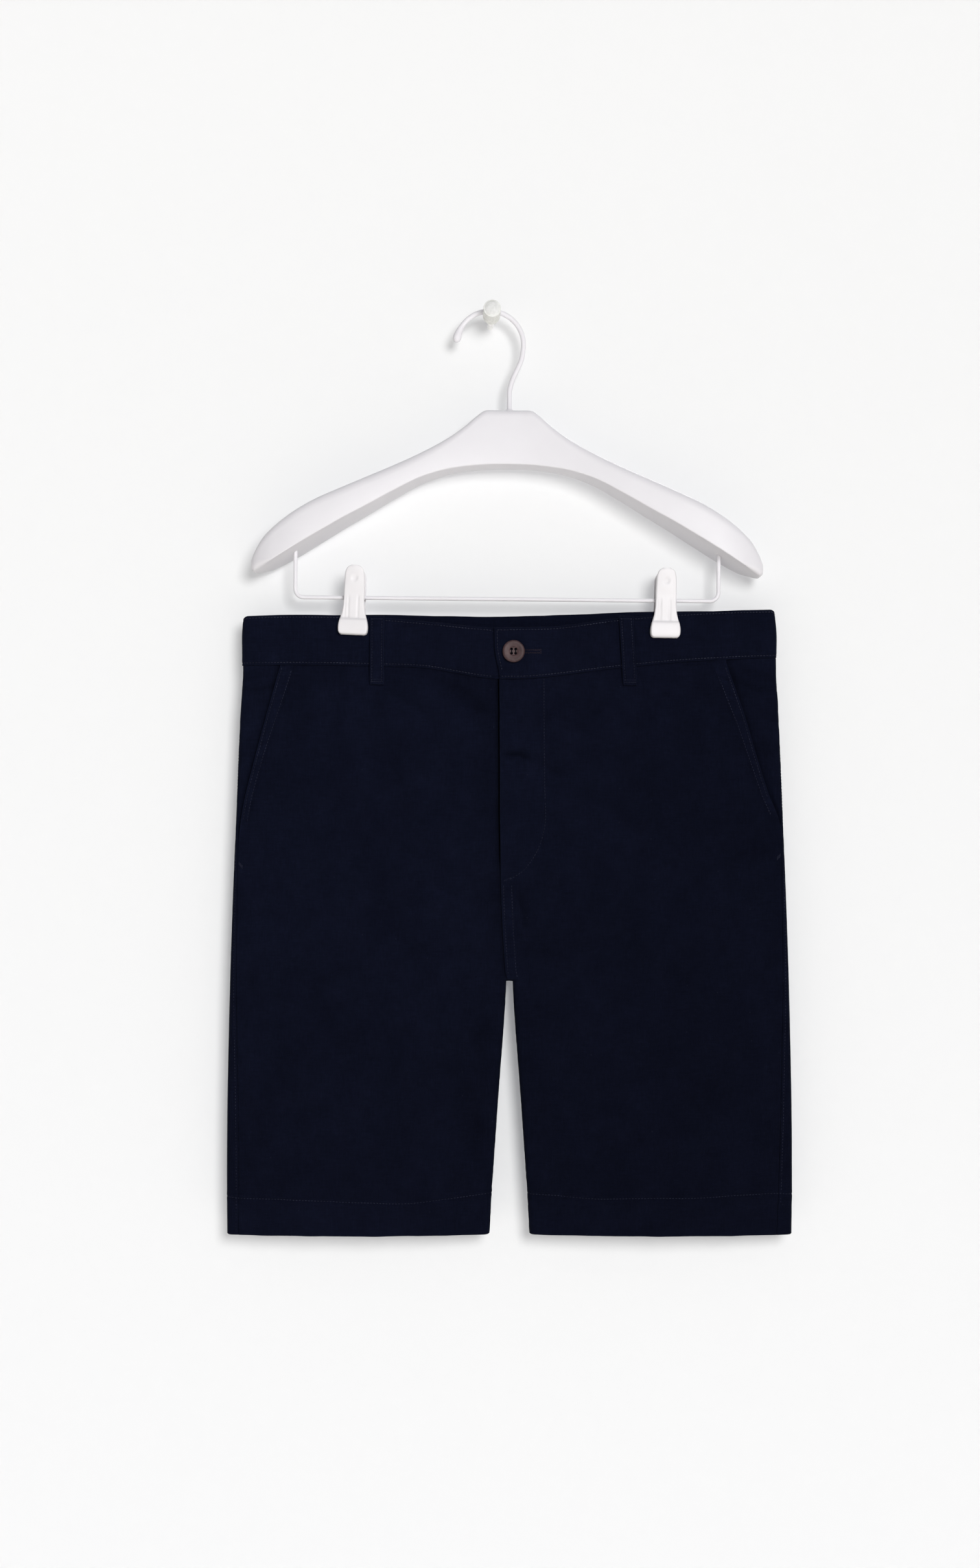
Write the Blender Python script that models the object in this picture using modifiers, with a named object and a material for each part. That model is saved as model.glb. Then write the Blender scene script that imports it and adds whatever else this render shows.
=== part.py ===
"""Bermuda shorts hung by the waistband from a clip hanger, on a wall peg.

Frame: the origin is the centre of the peg's flat back face, where it meets the wall. +X runs to the
right of someone facing the wall, +Z up, and the shorts stand out from the wall along -Y. "Left" and
"right" in the names are the wearer's, so the left leg lies at +X.

Every length below is in millimetres. The garment's own x is measured from its centre line.
"""

import math
from collections import namedtuple

import bmesh
import bpy
from mathutils import Matrix, Vector

MM = 0.001
GAP = 0.3  # clear space between neighbouring pieces
SEAM = 0.24  # half the space at a seam that runs along a fold
BAND_GAP = 0.42  # clear space between the panels and the waistband

# ---------------------------------------------------------------- garment: driving sizes
GARMENT_X = 15.8  # the garment's centre line, right of the peg
MID_Y = -24.0  # the plane halfway between front and back cloth, and of the hanger's bar
CROTCH_Z = -548.2
HEM_Z = -756.8
HEM_DEPTH = 29.0
CLOTH = 1.5  # panel cloth
HEM_CLOTH = 2.8  # the hem, turned up twice
BAND_CLOTH = 2.4  # waistband, two layers and an interlining
BAND_PROUD = 0.6  # the waistband stands this far off the panels below it
FOLD = 4.2  # radius of the soft fold at each side and inseam
PRESSED = 2.0  # half depth where a clip presses front and back together
CLIP_X = 129.0  # each clip, from the garment's centre line
CLIP_REACH = 15.0  # half the width that a clip presses flat
CLIP_FADE_X = 46.0
CLIP_FADE_Z = 60.0
PRESSED_TO_Z = -268.0
FLY_BOTTOM_Z = -466.0
UNDER = CLOTH + GAP  # how far a layer lies under the cloth above it

# One row a height: half width at the sides, half gap between the legs, how far the walls swell out
# beyond the side folds, and how far each side seam has rolled on to the front.
Level = namedtuple("Level", "z edge inseam swell roll_right roll_left")
LEVELS = (
    Level(-240.0, 218.0, 2.6, 6.6, 0.0, 0.0),
    Level(-262.0, 220.0, 2.6, 6.8, 0.0, 0.0),
    Level(-290.0, 219.9, 2.6, 7.2, 0.0, 0.0),
    Level(-343.0, 222.6, 2.6, 8.0, 0.3, 0.2),
    Level(-407.0, 225.2, 2.6, 8.2, 1.8, 1.4),
    Level(-471.0, 227.9, 2.6, 7.6, 4.0, 3.8),
    Level(-548.0, 230.5, 2.6, 7.0, 5.6, 5.6),
    Level(-648.0, 232.7, 9.5, 7.0, 9.4, 9.6),
    Level(-712.0, 233.1, 13.9, 7.2, 10.4, 11.8),
    Level(-757.0, 232.7, 16.7, 7.4, 9.8, 13.4),
)

# The waistband's edges across the front, right hip to left hip, and its top across the back.
Waist = namedtuple("Waist", "x top seam back_top")
WAIST = (
    Waist(-220.0, -247.8, -288.4, -247.8),
    Waist(-160.0, -246.4, -287.9, -246.6),
    Waist(-110.0, -248.4, -288.9, -246.0),
    Waist(-70.0, -252.6, -291.0, -246.0),
    Waist(-20.0, -258.0, -299.5, -246.2),
    Waist(15.0, -258.0, -300.0, -245.6),
    Waist(44.0, -256.4, -297.0, -245.0),
    Waist(90.0, -249.4, -290.6, -243.9),
    Waist(146.0, -244.6, -285.2, -243.2),
    Waist(221.0, -242.2, -281.9, -242.2),
)
BACK_BAND = 41.0  # height of the waistband across the back

# The slanted pocket openings: distance of the cut edge from the centre line at each height.
Opening = namedtuple("Opening", "z x")
POCKETS = {
    "right": (
        Opening(-289, 188.9),
        Opening(-343, 203.8),
        Opening(-393, 216.9),
        Opening(-414, 220.9),
        Opening(-436, 223.6),
    ),
    "left": (
        Opening(-286, 178.2),
        Opening(-330, 193.4),
        Opening(-362, 202.8),
        Opening(-394, 213.0),
        Opening(-408, 219.0),
        Opening(-421, 223.9),
    ),
}
FACING_TUCK = 24.0  # how far the facing runs under the front panel
FACING_RISE = 12.0  # over this width it comes up level with the panel

# The fly: the left front laps over the right one along this edge, which leads on into the crotch seam.
FLY_EDGE = (Opening(-288, -8.6), Opening(-466, -7.4), Opening(-540, -3.6), Opening(-549, -1.0))
BAND_END_X = -12.6  # the left waistband's free end
BAND_UNDERLAP_X = 30.0  # the right waistband's end, hidden under the left one
UNDERLAP_X = 34.0
ZIP_WIDTH = 24.0
FLY_LIFT = 0.9
LAP_LIFT = 1.4

# The largest soft folds: a ridge or, below zero, a trough, from one end to the other.
Crease = namedtuple("Crease", "face x0 z0 x1 z1 width height")
CREASES = (
    Crease("front", -78, -300, -20, -352, 10, 1.1),
    Crease("front", -62, -300, -12, -330, 5, -0.9),
    Crease("front", -128, -296, -126, -400, 12, 1.0),
    Crease("front", 128, -296, 124, -410, 13, 0.9),
    Crease("front", -40, -620, -22, -690, 9, -1.1),
    Crease("front", 46, -690, 30, -745, 12, -1.0),
    Crease("back", -128, -300, -112, -440, 14, 1.2),
    Crease("back", 128, -300, 110, -420, 14, 1.1),
    Crease("back", -60, -470, -24, -540, 11, -1.1),
    Crease("back", 62, -462, 26, -536, 11, -1.0),
)

PANEL_ROWS = (-310, -330, -352, -375, -400, -420, -440, -466, -492, -516, -535, -545)
LEG_ROWS = (-551, -562, -585, -615, -648, -680, -706, HEM_Z + HEM_DEPTH + 1, HEM_Z + HEM_DEPTH, -742)
BAND_ROWS = (0.0, 0.3, 0.7, 1.0)
NEAR_SEAM = (0.0, 0.3, 1.8, 3.6, 6.4)  # columns of points beside a seam, measured along the cloth
ROUND_FOLD = (32, 60, 90)  # degrees round a fold, from its tip
CROTCH_ROOM = 0.5  # more space where four seams meet
STEP = 0.35  # the narrow first column at a seam, which squares the cloth's cut edge

# ---------------------------------------------------------------- belt loops and button
LOOP_WIDTH = 12.0
LOOP_CLOTH = 1.6
LOOP_BELOW_BAND = 15.5
LOOP_BOW = 1.5  # the loop stands this far off the band halfway down
Loop = namedtuple("Loop", "name face x lean")
LOOPS = (
    Loop("belt_loop_front_right", "front", -109.0, 0.0),
    Loop("belt_loop_front_left", "front", 97.4, 3.2),
    Loop("belt_loop_back_left", "back", 104.0, 0.0),
    Loop("belt_loop_back_centre", "back", 0.0, 0.0),
    Loop("belt_loop_back_right", "back", -104.0, 0.0),
)
BUTTON_X = 3.2
BUTTON_Z = -278.2
BUTTON_RADIUS = 9.1
BUTTON_THICK = 3.2

# ---------------------------------------------------------------- hanger and peg
HANGER_TILT = math.radians(0.55)  # it hangs a little lower on the right
HANGER_Y = -20.5
WIRE = 2.05  # radius of the hook's rod
HOOK_RADIUS = 27.8
HOOK_CENTRE_X = -0.3
HOOK_CENTRE_Z = -22.0
HOOK_TIP = (1.1, 1.35, 1.6, 1.62, 1.3, 0.55)  # the rod swells to this share of its radius at its end
BAR_Z = -233.1
BAR_X = 174.6
BAR_WIRE = 1.65
BAR_BEND = 7.0
# Hanger body: distance from its centre, top edge, lower front edge, depth through it, and how much
# lower its back edge is.
Arm = namedtuple("Arm", "x top bottom depth drop")
ARM = (
    Arm(0.0, -77.4, -123.0, 19.0, 0.0),
    Arm(12.0, -77.4, -123.2, 19.0, 0.0),
    Arm(19.5, -77.9, -123.6, 19.2, 0.0),
    Arm(26.0, -82.4, -124.2, 19.6, 0.0),
    Arm(37.0, -92.0, -125.6, 20.6, 0.0),
    Arm(52.0, -102.7, -128.6, 22.6, 0.0),
    Arm(72.0, -114.0, -135.6, 26.0, 0.2),
    Arm(93.0, -124.6, -146.9, 30.0, 0.5),
    Arm(118.5, -136.4, -161.7, 34.0, 0.8),
    Arm(135.0, -144.0, -171.0, 36.6, 1.1),
    Arm(157.5, -154.5, -184.5, 39.2, 1.5),
    Arm(176.0, -165.5, -195.7, 39.2, 1.7),
    Arm(191.8, -177.4, -205.2, 34.4, 1.4),
    Arm(201.6, -187.2, -210.4, 27.6, 0.9),
    Arm(207.4, -196.8, -212.9, 20.0, 0.5),
    Arm(210.2, -203.4, -211.4, 13.0, 0.2),
)
# Front lever of a clip from the bottom up: height from the bar, half width, inner and outer distance
# from the middle plane.
Lever = namedtuple("Lever", "z half inner outer")
LEVER = (
    Lever(-31.3, 9.6, 3.4, 7.0),
    Lever(-30.5, 11.0, 2.95, 8.2),
    Lever(-28.6, 12.0, 2.95, 8.8),
    Lever(-24.0, 12.2, 2.95, 8.9),
    Lever(-19.5, 11.4, 2.95, 8.6),
    Lever(-17.6, 10.8, 4.6, 7.5),
    Lever(-12.0, 9.3, 5.2, 7.8),
    Lever(-4.0, 8.5, 5.6, 8.6),
    Lever(4.0, 8.5, 5.8, 9.2),
    Lever(14.0, 8.2, 7.2, 10.4),
    Lever(19.4, 7.7, 8.4, 11.2),
    Lever(23.2, 6.1, 9.2, 11.7),
    Lever(25.0, 3.2, 9.8, 11.6),
)
# Where each clip sits on the bar, from the garment's centre line, and how far it leans, in degrees.
Clip = namedtuple("Clip", "side x lean")
CLIPS = (Clip("left", 128.4, 0.3), Clip("right", -127.5, 2.05))
SPRING_RADIUS = 4.6
SPRING_HALF = 5.2

PEG_TILT_X = math.tan(math.radians(2.2))
PEG_TILT_Z = math.tan(math.radians(1.5))
# The peg from the wall out: distance from the wall and radius.
Turn = namedtuple("Turn", "out r")
PEG = (
    Turn(0.0, 2.7),
    Turn(23.0, 2.7),
    Turn(23.4, 6.4),
    Turn(24.4, 7.1),
    Turn(36.0, 7.2),
    Turn(39.4, 6.8),
    Turn(41.4, 5.5),
    Turn(42.2, 3.4),
    Turn(42.4, 1.2),
)

# name: colour, roughness, metallic
COLOURS = {
    "cloth": ((0.0048, 0.0060, 0.0130, 1.0), 0.92, 0.0),
    "button": ((0.090, 0.050, 0.050, 1.0), 0.45, 0.0),
    "zip": ((0.006, 0.007, 0.014, 1.0), 0.7, 0.0),
    "hanger": ((0.83, 0.82, 0.85, 1.0), 0.42, 0.0),
    "wire": ((0.84, 0.83, 0.86, 1.0), 0.35, 0.0),
    "clip": ((0.84, 0.83, 0.84, 1.0), 0.4, 0.0),
    "spring": ((0.55, 0.55, 0.56, 1.0), 0.3, 1.0),
    "peg": ((0.80, 0.80, 0.78, 1.0), 0.85, 0.0),
}


# ================================================================ small helpers
def smooth(t):
    t = min(max(t, 0.0), 1.0)
    return t * t * (3.0 - 2.0 * t)


def mix(a, b, t):
    return a + (b - a) * t


def table(rows, key, at, column):
    """Reads a column at a height or place, on a smooth curve through the table's rows."""
    rows = sorted(rows, key=lambda row: getattr(row, key))
    keys = [getattr(row, key) for row in rows]
    values = [getattr(row, column) for row in rows]
    if at <= keys[0]:
        return values[0]
    if at >= keys[-1]:
        return values[-1]
    i = max(n for n, k in enumerate(keys) if k <= at)

    def slope(n):
        low, high = max(n - 1, 0), min(n + 1, len(keys) - 1)
        return (values[high] - values[low]) / (keys[high] - keys[low])

    span = keys[i + 1] - keys[i]
    t = (at - keys[i]) / span
    a, b = slope(i) * span, slope(i + 1) * span
    start, end = values[i], values[i + 1]
    return (
        (2 * t**3 - 3 * t**2 + 1) * start
        + (t**3 - 2 * t**2 + t) * a
        + (3 * t**2 - 2 * t**3) * end
        + (t**3 - t**2) * b
    )


def level(z, column):
    return table(LEVELS, "z", z, column)


def waist(x, column):
    return table(WAIST, "x", x, column)


def rounding(d, radius):
    """Height of a quarter circle at the distance d in from its tip, as a share of its radius."""
    return math.sqrt(max(0.0, 1.0 - (1.0 - min(max(d / radius, 0.0), 1.0)) ** 2))


def crease_height(x, z, face):
    total = 0.0
    for c in CREASES:
        if c.face != face:
            continue
        along = Vector((c.x1 - c.x0, c.z1 - c.z0))
        spot = Vector((x - c.x0, z - c.z0))
        t = spot.dot(along) / along.length_squared
        across = abs(along.x * spot.y - along.y * spot.x) / along.length
        ends = smooth((t + 0.25) / 0.5) * smooth((1.25 - t) / 0.5)
        total += c.height * ends * math.exp(-((across / c.width) ** 2))
    return total


# ================================================================ the garment's surface
def pressed(x, z):
    """1 where a clip holds front and back together, fading to 0 away from it."""
    below = max(0.0, PRESSED_TO_Z - z) / CLIP_FADE_Z
    most = 0.0
    for centre in (-CLIP_X, CLIP_X):
        beside = max(0.0, abs(x - centre) - CLIP_REACH) / CLIP_FADE_X
        most = max(most, math.exp(-(beside**2)) * math.exp(-(below**1.3)))
    return most


def half_depth(x, z, face, proud=0.0):
    """Distance of the cloth's outer face from the middle plane, at a place on the front or back."""
    edge = level(z, "edge") + proud
    inseam = level(z, "inseam") - proud
    radius = FOLD + proud
    body = smooth((z - CROTCH_Z) / 110.0)  # 0 in the legs, 1 where both share one tube
    seat = smooth((z - CROTCH_Z) / 42.0)
    side = rounding(edge - abs(x), radius)
    inner = mix(rounding(abs(x) - inseam, radius), 1.0, seat)
    across = min(max((abs(x) - inseam) / (edge - inseam), 0.0), 1.0)
    leg_swell = 4.0 * across * (1.0 - across)
    body_swell = max(0.0, 1.0 - (x / edge) ** 2)
    swell = level(z, "swell") * mix(leg_swell, body_swell, body)
    wave = crease_height(x, z, face) * min(1.0, swell / 2.0)
    depth = radius * side * inner + swell + wave
    thin = PRESSED + proud
    if depth > thin:
        depth = thin + (depth - thin) * (1.0 - pressed(x, z))
    if z > CROTCH_Z - 0.5:
        depth = max(depth, min(thin, radius * side))
    return depth


def on_cloth(x, z, face, proud=0.0, lift=0.0):
    sign = -1.0 if face == "front" else 1.0
    near_crotch = smooth((z - CROTCH_Z + 14.0) / 12.0) * smooth((60.0 - abs(x)) / 20.0)
    least = SEAM + CROTCH_ROOM * near_crotch
    depth = max(half_depth(x, z, face, proud) + lift, least)
    return Vector((GARMENT_X + x, MID_Y + sign * depth, z))


def seam_points(x, z, face, sign):
    """The first two points in from the middle seam or, below the crotch, from the inseam's fold."""
    first = on_cloth(x, z, face)
    if z >= CROTCH_Z:
        return [first, on_cloth(x + sign * STEP, z, face)]
    outward = -STEP if face == "front" else STEP
    return [first, first + Vector((0.0, outward, 0.0))]


def fly_edge(z):
    return table(FLY_EDGE, "z", z, "x")


def fly_lift(x, z):
    """The lapping edge of the fly stands up a little over the cloth beside it."""
    beside = math.exp(-(((x - fly_edge(z)) / 12.0) ** 2))
    return FLY_LIFT * beside * smooth((z - FLY_BOTTOM_Z) / 20.0)


def opening(side, z):
    return table(POCKETS[side], "z", z, "x")


def side_seam(side, z):
    return level(z, "edge") - level(z, "roll_" + side)


def arc(d, radius):
    """Length along the side fold from its tip to the distance d in from the edge."""
    if d < radius:
        return radius * math.acos(1.0 - max(d, 0.0) / radius)
    return radius * math.pi / 2 + d - radius


def along_fold(s, radius):
    """The distance in from the edge at a length s from the fold's tip."""
    if s < radius * math.pi / 2:
        return radius * (1.0 - math.cos(s / radius))
    return radius + s - radius * math.pi / 2


def spread(start, end, count):
    return [mix(start, end, n / (count - 1)) for n in range(count)]


# ================================================================ Blender objects
def clear_scene():
    for obj in list(bpy.data.objects):
        bpy.data.objects.remove(obj, do_unlink=True)


def collection(name):
    made = bpy.data.collections.new(name)
    bpy.context.scene.collection.children.link(made)
    return made


def paint(obj, kind):
    colour, roughness, metallic = COLOURS[kind]
    material = bpy.data.materials.new(obj.name)
    material.use_nodes = True
    shader = material.node_tree.nodes["Principled BSDF"]
    shader.inputs["Base Color"].default_value = colour
    shader.inputs["Roughness"].default_value = roughness
    shader.inputs["Metallic"].default_value = metallic
    material.diffuse_color = colour
    obj.data.materials.append(material)


def object_from(name, bm, kind, angle=40.0):
    mesh = bpy.data.meshes.new(name)
    bm.to_mesh(mesh)
    bm.free()
    mesh.shade_smooth()
    mesh.set_sharp_from_angle(angle=math.radians(angle))
    obj = bpy.data.objects.new(name, mesh)
    SHORTS.objects.link(obj)
    paint(obj, kind)
    return obj


def sheet(name, rows, thickness, kind="cloth", thin=None, thick_rows=()):
    """A wall of cloth. The rows of points are its outer face, and the thickness goes inwards.

    With thin given, only the thick rows have the full thickness.
    """
    bm = bmesh.new()
    grid = [[bm.verts.new(point * MM) for point in row] for row in rows]
    for upper, lower in zip(grid, grid[1:]):
        for n in range(len(upper) - 1):
            bm.faces.new((upper[n], upper[n + 1], lower[n + 1], lower[n]))
    bm.normal_update()
    middle = grid[len(grid) // 2][len(grid[0]) // 2]
    if middle.normal.y * (middle.co.y - MID_Y * MM) < 0:
        bmesh.ops.reverse_faces(bm, faces=bm.faces)
    width = len(rows[0])
    obj = object_from(name, bm, kind)
    wall = obj.modifiers.new("cloth", "SOLIDIFY")
    wall.thickness = thickness * MM
    wall.offset = -1.0
    wall.use_even_offset = True
    if thin is not None:
        group = obj.vertex_groups.new(name="turned_up")
        indices = [row * width + n for row in thick_rows for n in range(width)]
        group.add(indices, 1.0, "REPLACE")
        wall.vertex_group = group.name
        wall.thickness_vertex_group = thin / thickness
    return obj


def loft(name, rings, kind):
    """A closed solid through rings of the same number of points, with a flat cap at each end."""
    bm = bmesh.new()
    loops = [[bm.verts.new(point * MM) for point in ring] for ring in rings]
    for low, high in zip(loops, loops[1:]):
        for n in range(len(low)):
            m = (n + 1) % len(low)
            bm.faces.new((low[n], low[m], high[m], high[n]))
    bm.faces.new(list(reversed(loops[0])))
    bm.faces.new(loops[-1])
    bmesh.ops.recalc_face_normals(bm, faces=bm.faces)
    return object_from(name, bm, kind)


def wire(name, points, radius, kind, end=()):
    """A round rod along a polyline. The shares in end scale its last points."""
    data = bpy.data.curves.new(name, "CURVE")
    data.dimensions = "3D"
    data.bevel_depth = radius * MM
    data.bevel_resolution = 2
    data.use_fill_caps = True
    spline = data.splines.new("POLY")
    spline.points.add(len(points) - 1)
    for slot, point in zip(spline.points, points):
        slot.co = (*(point * MM), 1.0)
    for slot, share in zip(reversed(spline.points), reversed(end)):
        slot.radius = share
    obj = bpy.data.objects.new(name, data)
    SHORTS.objects.link(obj)
    paint(obj, kind)
    return obj


# ================================================================ cloth pieces
def front_columns(side, z, start, below_band):
    """Distances from the centre line, from near the fly or inseam out to the pocket or side seam."""
    seam = side_seam(side, z) - SEAM
    outer = min(opening(side, z), seam) if below_band else seam
    edge = level(z, "edge")
    outer_arc = arc(edge - outer, FOLD)
    near = [edge - along_fold(outer_arc + step, FOLD) for step in NEAR_SEAM]
    first = [start + FOLD * (1.0 - math.cos(math.radians(a))) for a in ROUND_FOLD]
    middle = spread(first[-1], near[-1], 9)[1:-1]
    return first + middle + list(reversed(near))


def front_panel(side):
    sign = 1.0 if side == "left" else -1.0
    rows = []
    pocket_end = POCKETS[side][-1].z
    for n, z in enumerate((-288.0, *PANEL_ROWS, CROTCH_Z, *LEG_ROWS, HEM_Z)):
        if z >= CROTCH_Z:
            start = sign * fly_edge(z) + GAP / 2
        else:
            start = level(z, "inseam")
        row = []
        if z < CROTCH_Z:
            row = seam_points(sign * start, z, "front", sign)
        xs = front_columns(side, z, start, z > pocket_end)
        if z >= CROTCH_Z:
            xs = [start, start + STEP] + xs
        for x in xs:
            height = waist(sign * x, "seam") - BAND_GAP if n == 0 else z
            lift = fly_lift(x, height) if side == "left" else 0.0
            row.append(on_cloth(sign * x, height, "front", 0.0, lift))
        rows.append(row)
    thick = range(len(rows) - 3, len(rows))
    return sheet("front_" + side, rows, HEM_CLOTH, thin=CLOTH, thick_rows=thick)


def back_points(side, z, start, height=None):
    """From the side seam, round the side fold, and across the back to the middle or inseam."""
    sign = 1.0 if side == "left" else -1.0
    edge = level(z, "edge")
    roll = level(z, "roll_" + side)
    at = (lambda x: z) if height is None else height
    points = []
    seam_arc = arc(roll, FOLD) - SEAM
    if seam_arc > 0.6:
        for s in (seam_arc, seam_arc - 0.25, seam_arc * 0.6, seam_arc * 0.3):
            x = sign * (edge - along_fold(s, FOLD))
            points.append(on_cloth(x, at(x), "front"))
    else:
        tip = on_cloth(sign * edge, at(sign * edge), "back")
        points = [tip + Vector((0.0, step, 0.0)) for step in (0.0, 0.1, 0.2, 0.3)]
    quarter = FOLD * math.pi / 2
    fold = [sign * (edge - along_fold(quarter * f, FOLD)) for f in (0.2, 0.45, 0.7, 1.0)]
    first = [start + FOLD * (1.0 - math.cos(math.radians(a))) for a in reversed(ROUND_FOLD)]
    middle = spread(abs(fold[-1]), first[0], 9)[1:-1]
    xs = fold + [sign * x for x in middle + first]
    inner = seam_points(sign * start, at(sign * start), "back", sign)
    return points + [on_cloth(x, at(x), "back") for x in xs] + list(reversed(inner))


def back_panel(side):
    rows = []
    for n, z in enumerate((-286.0, *PANEL_ROWS, CROTCH_Z, *LEG_ROWS, HEM_Z)):
        start = GAP / 2 if z >= CROTCH_Z else level(z, "inseam")
        seam = (lambda x: waist(x, "back_top") - BACK_BAND - BAND_GAP) if n == 0 else None
        rows.append(back_points(side, z, start, seam))
    thick = range(len(rows) - 3, len(rows))
    return sheet("back_" + side, rows, HEM_CLOTH, thin=CLOTH, thick_rows=thick)


def pocket_facing(side):
    """The hip piece that shows behind the slanted opening: it runs under the front panel."""
    sign = 1.0 if side == "left" else -1.0
    rows = []
    for n, z in enumerate((-288.0, -310, -330, -352, -375, -400, POCKETS[side][-2].z)):
        cut = opening(side, z)
        edge = level(z, "edge")
        seam_arc = arc(level(z, "roll_" + side), FOLD) + SEAM + GAP
        seam = edge - along_fold(seam_arc, FOLD)
        rise = min(FACING_RISE, (seam - cut - 0.5) * 0.6)
        xs = spread(cut - FACING_TUCK, cut, 4) + spread(cut + 0.5, seam - 3.0, 4)
        xs += [edge - along_fold(seam_arc + step, FOLD) for step in (1.8, 0.25, 0.0)]
        row = []
        for x in sorted(xs):
            proud = -UNDER * (1.0 - smooth((x - cut - 0.5) / rise))
            height = waist(sign * x, "seam") - BAND_GAP if n == 0 else z
            row.append(on_cloth(sign * x, height, "front", 0.0, proud))
        rows.append(row)
    return sheet("pocket_facing_" + side, rows, CLOTH)


def band_lift(x, side):
    """The left end rises over the right one, which sinks to pass under it."""
    over = LAP_LIFT * (1.0 - smooth((x - BAND_END_X) / 60.0))
    if side == "left":
        return over
    return (over - BAND_CLOTH - GAP) * smooth((x - BAND_END_X + 8.0) / 6.0)


def waistband(side):
    """A strip from the fly, round the hip, to the middle of the back."""
    sign = 1.0 if side == "left" else -1.0
    proud = BAND_PROUD
    radius = FOLD + proud
    start = sign * BAND_END_X if side == "left" else sign * BAND_UNDERLAP_X
    rows = []
    for share in BAND_ROWS:
        row = []
        edge = level(-265.0, "edge") + proud
        front = spread(start, edge - radius, 18)
        if side == "right":
            front = [start, 9.0, 10.5, 12.0, 13.5, 15.0, *spread(20.0, edge - radius, 13)]
        fold = [edge - along_fold(radius * a, radius) for a in (1.2, 0.8, 0.4, 0.0)]
        back = list(reversed(spread(GAP / 2, edge - radius, 15)))
        stations = [(x, "front") for x in front + fold] + [(x, "back") for x in fold[-2::-1] + back]
        for x, face in stations:
            x = sign * x
            if face == "front":
                low, high = waist(x, "seam"), waist(x, "top")
            else:
                high = waist(x, "back_top")
                low = mix(high - BACK_BAND, waist(x, "seam"), smooth((abs(x) - 200.0) / 18.0))
            z = mix(low, high, share)
            lift = band_lift(x, side) if face == "front" else 0.0
            row.append(on_cloth(x, z, face, proud, lift))
        rows.append(row)
    return sheet("waistband_" + side, list(reversed(rows)), BAND_CLOTH)


def fly_underlap():
    """The shield behind the fly, sewn to the right front."""
    rows = []
    for z in (-304, -340, -380, -420, -452, FLY_BOTTOM_Z - 2):
        narrow = 14.0 * smooth((-430.0 - z) / 40.0)
        xs = spread(fly_edge(z) + 3.0, UNDERLAP_X - narrow, 5)
        rows.append([on_cloth(x, z, "front", 0.0, -(2 * CLOTH + 2 * GAP + 1.1)) for x in xs])
    return sheet("fly_underlap", rows, CLOTH)


def zip_tape():
    """A plain closed zip between the left front and the underlap."""
    rows = []
    for z in (-304, -340, -380, -420, -455):
        xs = spread(fly_edge(z) + 3.0, fly_edge(z) + 3.0 + ZIP_WIDTH, 4)
        rows.append([on_cloth(x, z, "front", 0.0, -UNDER) for x in xs])
    return sheet("zip_tape", rows, 1.0, "zip")


def belt_loop(loop):
    """A flat strip from the waistband's top edge to just under its lower seam, standing off it."""
    rows = []
    if loop.face == "front":
        top, seam = waist(loop.x, "top"), waist(loop.x, "seam")
    else:
        top = waist(loop.x, "back_top")
        seam = top - BACK_BAND
    bottom = seam - LOOP_BELOW_BAND
    for share in (0.0, 0.12, 0.3, 0.5, 0.68, 0.78, 0.9, 1.0):
        z = mix(top, bottom, share)
        bow = LOOP_BOW * math.sin(math.pi * share)
        settle = BAND_PROUD * smooth((seam - z) / 10.0) * 0.5
        centre = loop.x + loop.lean * (share - 0.5)
        row = []
        for across in (-0.5, 0.0, 0.5):
            lift = LOOP_CLOTH + 2 * GAP + bow - settle
            point = on_cloth(centre + across * LOOP_WIDTH, z, loop.face, BAND_PROUD, lift)
            row.append(point)
        rows.append(row)
    return sheet(loop.name, rows, LOOP_CLOTH)


def button():
    """A turned four-hole button with a raised rim."""
    profile = (
        (0.0, 0.0),
        (0.62, 0.0),
        (0.9, 0.14),
        (1.0, 0.42),
        (0.97, 0.78),
        (0.86, 1.0),
        (0.74, 0.96),
        (0.64, 0.66),
        (0.0, 0.58),
    )
    steps = 24
    bm = bmesh.new()
    base = on_cloth(BUTTON_X, BUTTON_Z, "front", BAND_PROUD, LAP_LIFT + 2 * GAP)
    rings = []
    for radius, out in profile:
        ring = []
        for n in range(steps if radius else 1):
            turn = 2 * math.pi * n / steps
            offset = Vector((math.cos(turn), 0.0, math.sin(turn))) * radius * BUTTON_RADIUS
            ring.append(bm.verts.new((base + offset + Vector((0, -out * BUTTON_THICK, 0))) * MM))
        rings.append(ring)
    for low, high in zip(rings, rings[1:]):
        for n in range(steps):
            m = (n + 1) % steps
            face = [low[n % len(low)], low[m % len(low)], high[m % len(high)], high[n % len(high)]]
            bm.faces.new(list(dict.fromkeys(face)))
    bmesh.ops.recalc_face_normals(bm, faces=bm.faces)
    obj = object_from("button", bm, "button")
    for n in range(4):
        turn = math.pi / 4 + n * math.pi / 2
        hole = base + Vector((math.cos(turn), 0.0, math.sin(turn))) * 2.1
        cut = bpy.data.objects.new(f"button_hole_{n}", drill(0.85, 12.0))
        cut.location = hole * MM
        cut.rotation_euler = (math.pi / 2, 0, 0)
        cut.hide_render = True
        cut.display_type = "WIRE"
        CUTTERS.objects.link(cut)
        modifier = obj.modifiers.new(f"hole_{n}", "BOOLEAN")
        modifier.operation = "DIFFERENCE"
        modifier.object = cut
    return obj


def drill(radius, length):
    bm = bmesh.new()
    bmesh.ops.create_cone(
        bm, cap_ends=True, segments=10, radius1=radius * MM, radius2=radius * MM, depth=length * MM
    )
    mesh = bpy.data.meshes.new("drill")
    bm.to_mesh(mesh)
    bm.free()
    return mesh


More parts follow.
